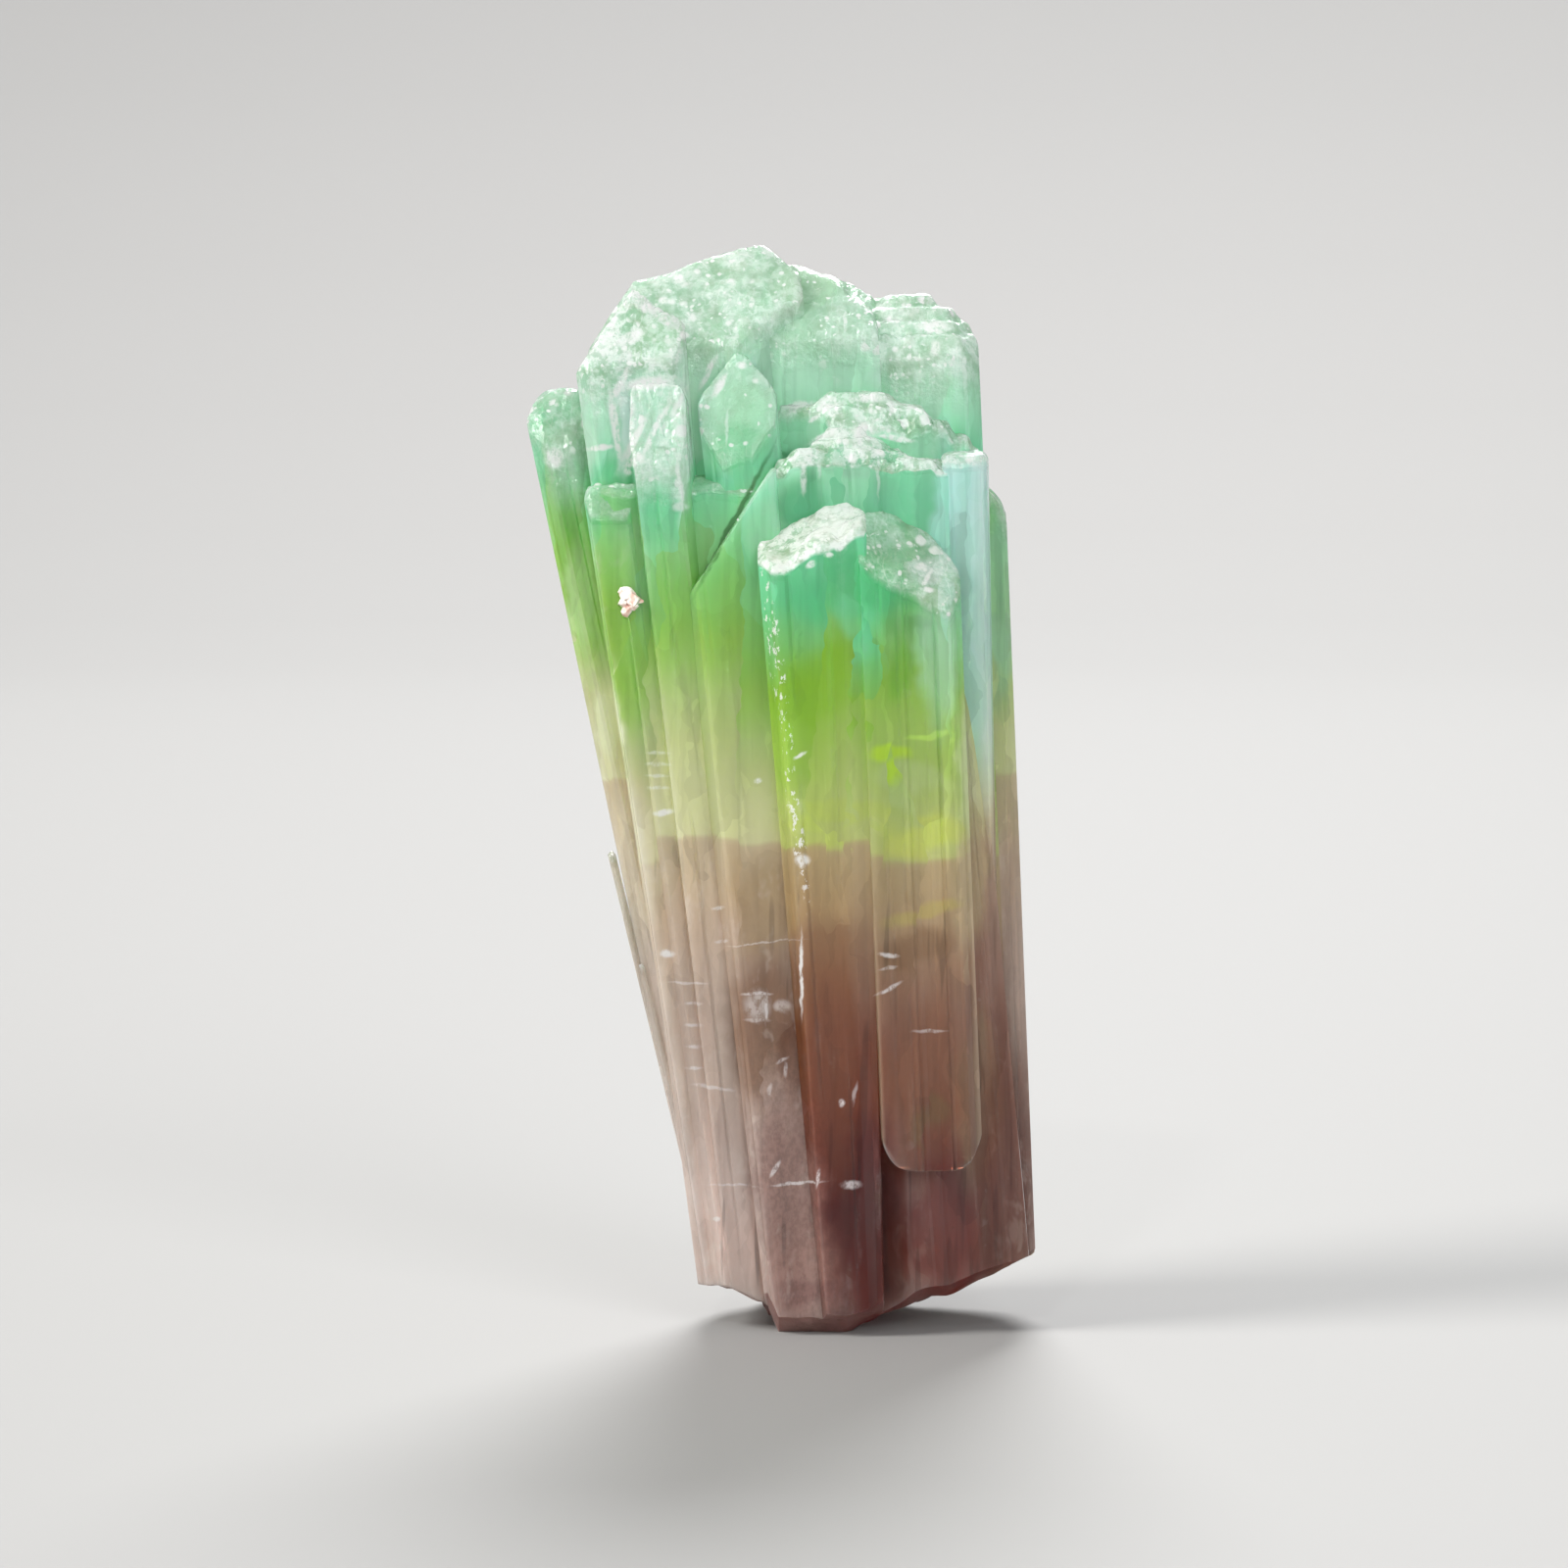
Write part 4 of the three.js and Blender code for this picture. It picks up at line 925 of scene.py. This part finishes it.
def tourmalineMaterial():
    material, tree, shader = newMaterial("zonedTourmaline")
    spot = add(tree, "TexCoord").outputs["Object"]
    growth, frost = attribute(tree, "growth"), attribute(tree, "frost")
    leaning = scaled(tree, spot, (1, 1, 0.16))
    bent, loose = shaken(tree, spot, 450, 0.0016), shaken(tree, spot, 1500, 0.0003)
    pane, sliver = uprightPanes(tree, bent, 0.17, 430.0), uprightPanes(tree, bent, 0.1, 1050.0)
    shift = calc(tree, "SUBTRACT", pane[0], 0.5)
    tone = times(tree, varied(tree, pane[1], tourmaline["panes"]),
                 varied(tree, sliver[1], tourmaline["slivers"]))

    # patches lie on the front only: the back is lifted out of them; the panes cut them up
    behind = span(tree, add(tree, "SeparateXYZ", Vector=spot).outputs[1], 0.001, 0.003)
    wide = turnedFrames(tree, bent, timesPlus(tree, shift, 0.0018, behind))
    narrow = turnedFrames(tree, loose, behind)

    body, depth = zonedColour(tree, spot, leaning, growth, shift)
    for *patch, shade, strength in stains:
        body = paint(tree, softPatch(tree, wide, patch, strength, 0.42), body, shade)
    # painted reflection of the sky on the blade, pale blue, fading out lower down
    skyReflection = times(tree, attribute(tree, "skyReflection"), span(tree, growth, 24.0, 31.0))
    body = paint(tree, times(tree, skyReflection, 0.9), body, tourmaline["skyReflection"])
    # painted highlight down both sides of the tongue
    body = paint(tree, times(tree, attribute(tree, "edge"), 0.4), body, tourmaline["tongueEdgeHighlight"])
    body, bands, ribs, crumble = streakedColour(tree, spot, bent, wide, growth, depth, tone, body)

    # the skin of frost with a ragged lower edge, then the painted shade along the crease and all the painted
    # glints
    ragged = calc(tree, "ADD", frost, timesPlus(tree, noise(tree, leaning, 900, 3.0), 1.1, -0.7))
    skin = span(tree, ragged, -0.1, 1.0)
    frostTone, cover, glintSpecks = frostedCaps(tree, spot, loose, leaning, wide, skin)
    finished = mix(tree, cover, body, frostTone)
    # painted shade: a dark line along the crease down to the left
    finished = paint(tree, softPatch(tree, narrow, shadedCrease, 0.75, 0.4), finished, tourmaline["creaseShade"])
    # painted glints: the specks on the caps and the marks on cracks and edges
    paintedGlint = calc(tree, "MAXIMUM", glintSpecks, paintedGlintMarks(tree, narrow, crumble))
    feed(tree, shader.inputs["Base Color"], paint(tree, paintedGlint, finished, tourmaline["glintWhite"]))
    crystalSurface(tree, shader, spot, frost, skin, bands, ribs)
    return material


cluster = buildCluster()
cluster.data.materials.clear()
cluster.data.materials.append(tourmalineMaterial())
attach(cluster, "root")
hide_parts("tourmaline")
print("cluster finished")

# a chip of white feldspar stuck to the left crystals
feldspar = dict(
    at=(-8.5, 41.8), sizes=(0.52, 0.42, 0.38, 0.3, 0.24, 0.2, 0.16), spread=0.75, cuts=13, seed=11,
    pink=(222, 178, 164), white=(246, 238, 230), pit=(176, 140, 118),
)


def feldsparMaterial():
    material, tree, shader = newMaterial("feldspar")
    spot = add(tree, "TexCoord").outputs["Object"]
    grains = placeGroup(tree, grainGroup, Place=spot, Size=0.00018, Plenty=0.4)
    tint = span(tree, noise(tree, spot, 1500, 3.0), 0.4, 0.6)
    shade = mix(tree, tint, colour(*feldspar["pink"]), colour(*feldspar["white"]))
    shade = mix(tree, times(tree, grains["Pits"], 0.6), shade, colour(*feldspar["pit"]))
    bump = add(tree, "Bump", Strength=0.6, Distance=0.00005, Height=grains["Height"])
    feed(tree, shader.inputs["Base Color"], shade)
    feed(tree, shader.inputs["Roughness"], span(tree, grains["Height"], 0.0, 1.0, 0.35, 0.6))
    feed(tree, shader.inputs["Normal"], bump.outputs[0])
    return material


def buildFeldspar():
    rng = np.random.default_rng(feldspar["seed"])
    bm = bmesh.new()
    ahead = Vector((feldspar["at"][0], -30, feldspar["at"][1])) * mm
    seat = np.array(cluster.ray_cast(ahead, Vector((0, 1, 0)))[1]) / mm
    for chunk, size in enumerate(feldspar["sizes"]):
        offset = rng.uniform(-1, 1, 3) * feldspar["spread"] * np.array([1, 0.2, 0.7]) * min(1, chunk)
        corners = bmesh.ops.create_icosphere(bm, subdivisions=4, radius=1)["verts"]
        cuts = rng.normal(size=(feldspar["cuts"], 3))
        cuts /= np.linalg.norm(cuts, axis=1)[:, None]
        for corner in corners:
            direction = np.array(corner.co)
            reach = min(1.3, *(0.72 / max(0.05, float(direction @ cut)) for cut in cuts))
            grain = 1 + 0.03 * math.sin(direction[0] * 19 + chunk) * math.sin(direction[2] * 23)
            corner.co = Vector((seat + offset + size * reach * grain * direction) * mm)
    mesh = bpy.data.meshes.new("feldsparChip")
    bm.to_mesh(mesh)
    bm.free()
    mesh.set_sharp_from_angle(angle=math.radians(25))
    mesh.materials.append(feldsparMaterial())
    return addObject("feldsparChip", mesh)


chip = buildFeldspar()
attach(chip, "root")
print("feldspar chip finished")

# the lights look at the spot that is lit; the floor is flat out to a radius, then bends up
studio = dict(
    lit=(0, 0, 0.03), floorShade=(0.27, 0.267, 0.262, 1), floorRoughness=0.7,
    flat=0.8, bend=0.7, wall=1.6, turns=96, rings=8, steps=12,
    worldShade=(0.92, 0.95, 1, 1), worldStrength=0.45,
)


# a floor that bends up into a pale wall all round
def buildFloor():
    profile = [(studio["flat"] * (k + 1) / studio["rings"], 0) for k in range(studio["rings"])]
    for k in range(studio["steps"]):
        turn = math.radians(90 * (k + 1) / studio["steps"])
        profile.append((studio["flat"] + studio["bend"] * math.sin(turn),
                        studio["bend"] * (1 - math.cos(turn))))
    profile.append((studio["flat"] + studio["bend"], studio["wall"]))
    turns = studio["turns"]
    vertices, faces = [(0, 0, 0)], []
    for radius, z in profile:
        for k in range(turns):
            angle = 2 * math.pi * k / turns
            vertices.append((radius * math.cos(angle), radius * math.sin(angle), z))
    for k in range(turns):
        after = (k + 1) % turns
        faces.append((0, 1 + k, 1 + after))
        for row in range(len(profile) - 1):
            start = 1 + row * turns
            faces.append((start + k, start + turns + k, start + turns + after, start + after))
    mesh = bpy.data.meshes.new("studioFloor")
    mesh.from_pydata(vertices, [], faces)
    mesh.shade_smooth()
    material, _, shader = newMaterial("paleFloor")
    shader.inputs["Base Color"].default_value = studio["floorShade"]
    shader.inputs["Roughness"].default_value = studio["floorRoughness"]
    mesh.materials.append(material)
    addObject("studioFloor", mesh)


lights = [
    dict(name="keyLight", at=(-0.95, -0.35, 0.75), size=0.5, power=21, shade=(1, 0.98, 0.95)),
    dict(name="backLight", at=(0.1, 1, 0.9), size=0.6, power=21, shade=(1, 1, 1)),
    dict(name="fillLight", at=(0.55, -1, 0.5), size=0.7, power=10, shade=(0.97, 0.98, 1)),
    dict(name="glintLight", at=(-0.25, -0.95, 0.8), size=0.08, power=2, shade=(1, 1, 1)),
]


def addLights():
    for item in lights:
        light = bpy.data.lights.new(item["name"], "AREA")
        light.shape = "DISK"
        light.size = item["size"]
        light.energy = item["power"]
        light.color = item["shade"]
        obj = addObject(item["name"], light)
        obj.location = item["at"]
        obj.rotation_euler = (Vector(studio["lit"]) - Vector(item["at"])).to_track_quat("-Z", "Y").to_euler()
    world = bpy.data.worlds.new("studio")
    world.use_nodes = True
    background = world.node_tree.nodes["Background"]
    background.inputs[0].default_value = studio["worldShade"]
    background.inputs[1].default_value = studio["worldStrength"]
    bpy.context.scene.world = world


view = dict(lens=120, sensor=36, elevation=4, seen=90.4, aim=(0.016, 0, 31))


def addCamera():
    camera = bpy.data.cameras.new("camera")
    camera.lens = view["lens"]
    camera.sensor_width = view["sensor"]
    camera.clip_start = 0.01
    obj = addObject("camera", camera)
    aim = Vector(view["aim"]) * mm
    distance = view["seen"] * mm * view["lens"] / view["sensor"]
    tilt = math.radians(view["elevation"])
    obj.location = aim + distance * Vector((0, -math.cos(tilt), math.sin(tilt)))
    obj.rotation_euler = (aim - obj.location).to_track_quat("-Z", "Y").to_euler()
    bpy.context.scene.camera = obj


buildFloor()
addLights()
addCamera()
scene = bpy.context.scene
scene.view_settings.view_transform = "Standard"
scene.cycles.max_bounces = 14
scene.cycles.transmission_bounces = 12
scene.cycles.glossy_bounces = 4
scene.cycles.caustics_reflective = False
print("studio ready")
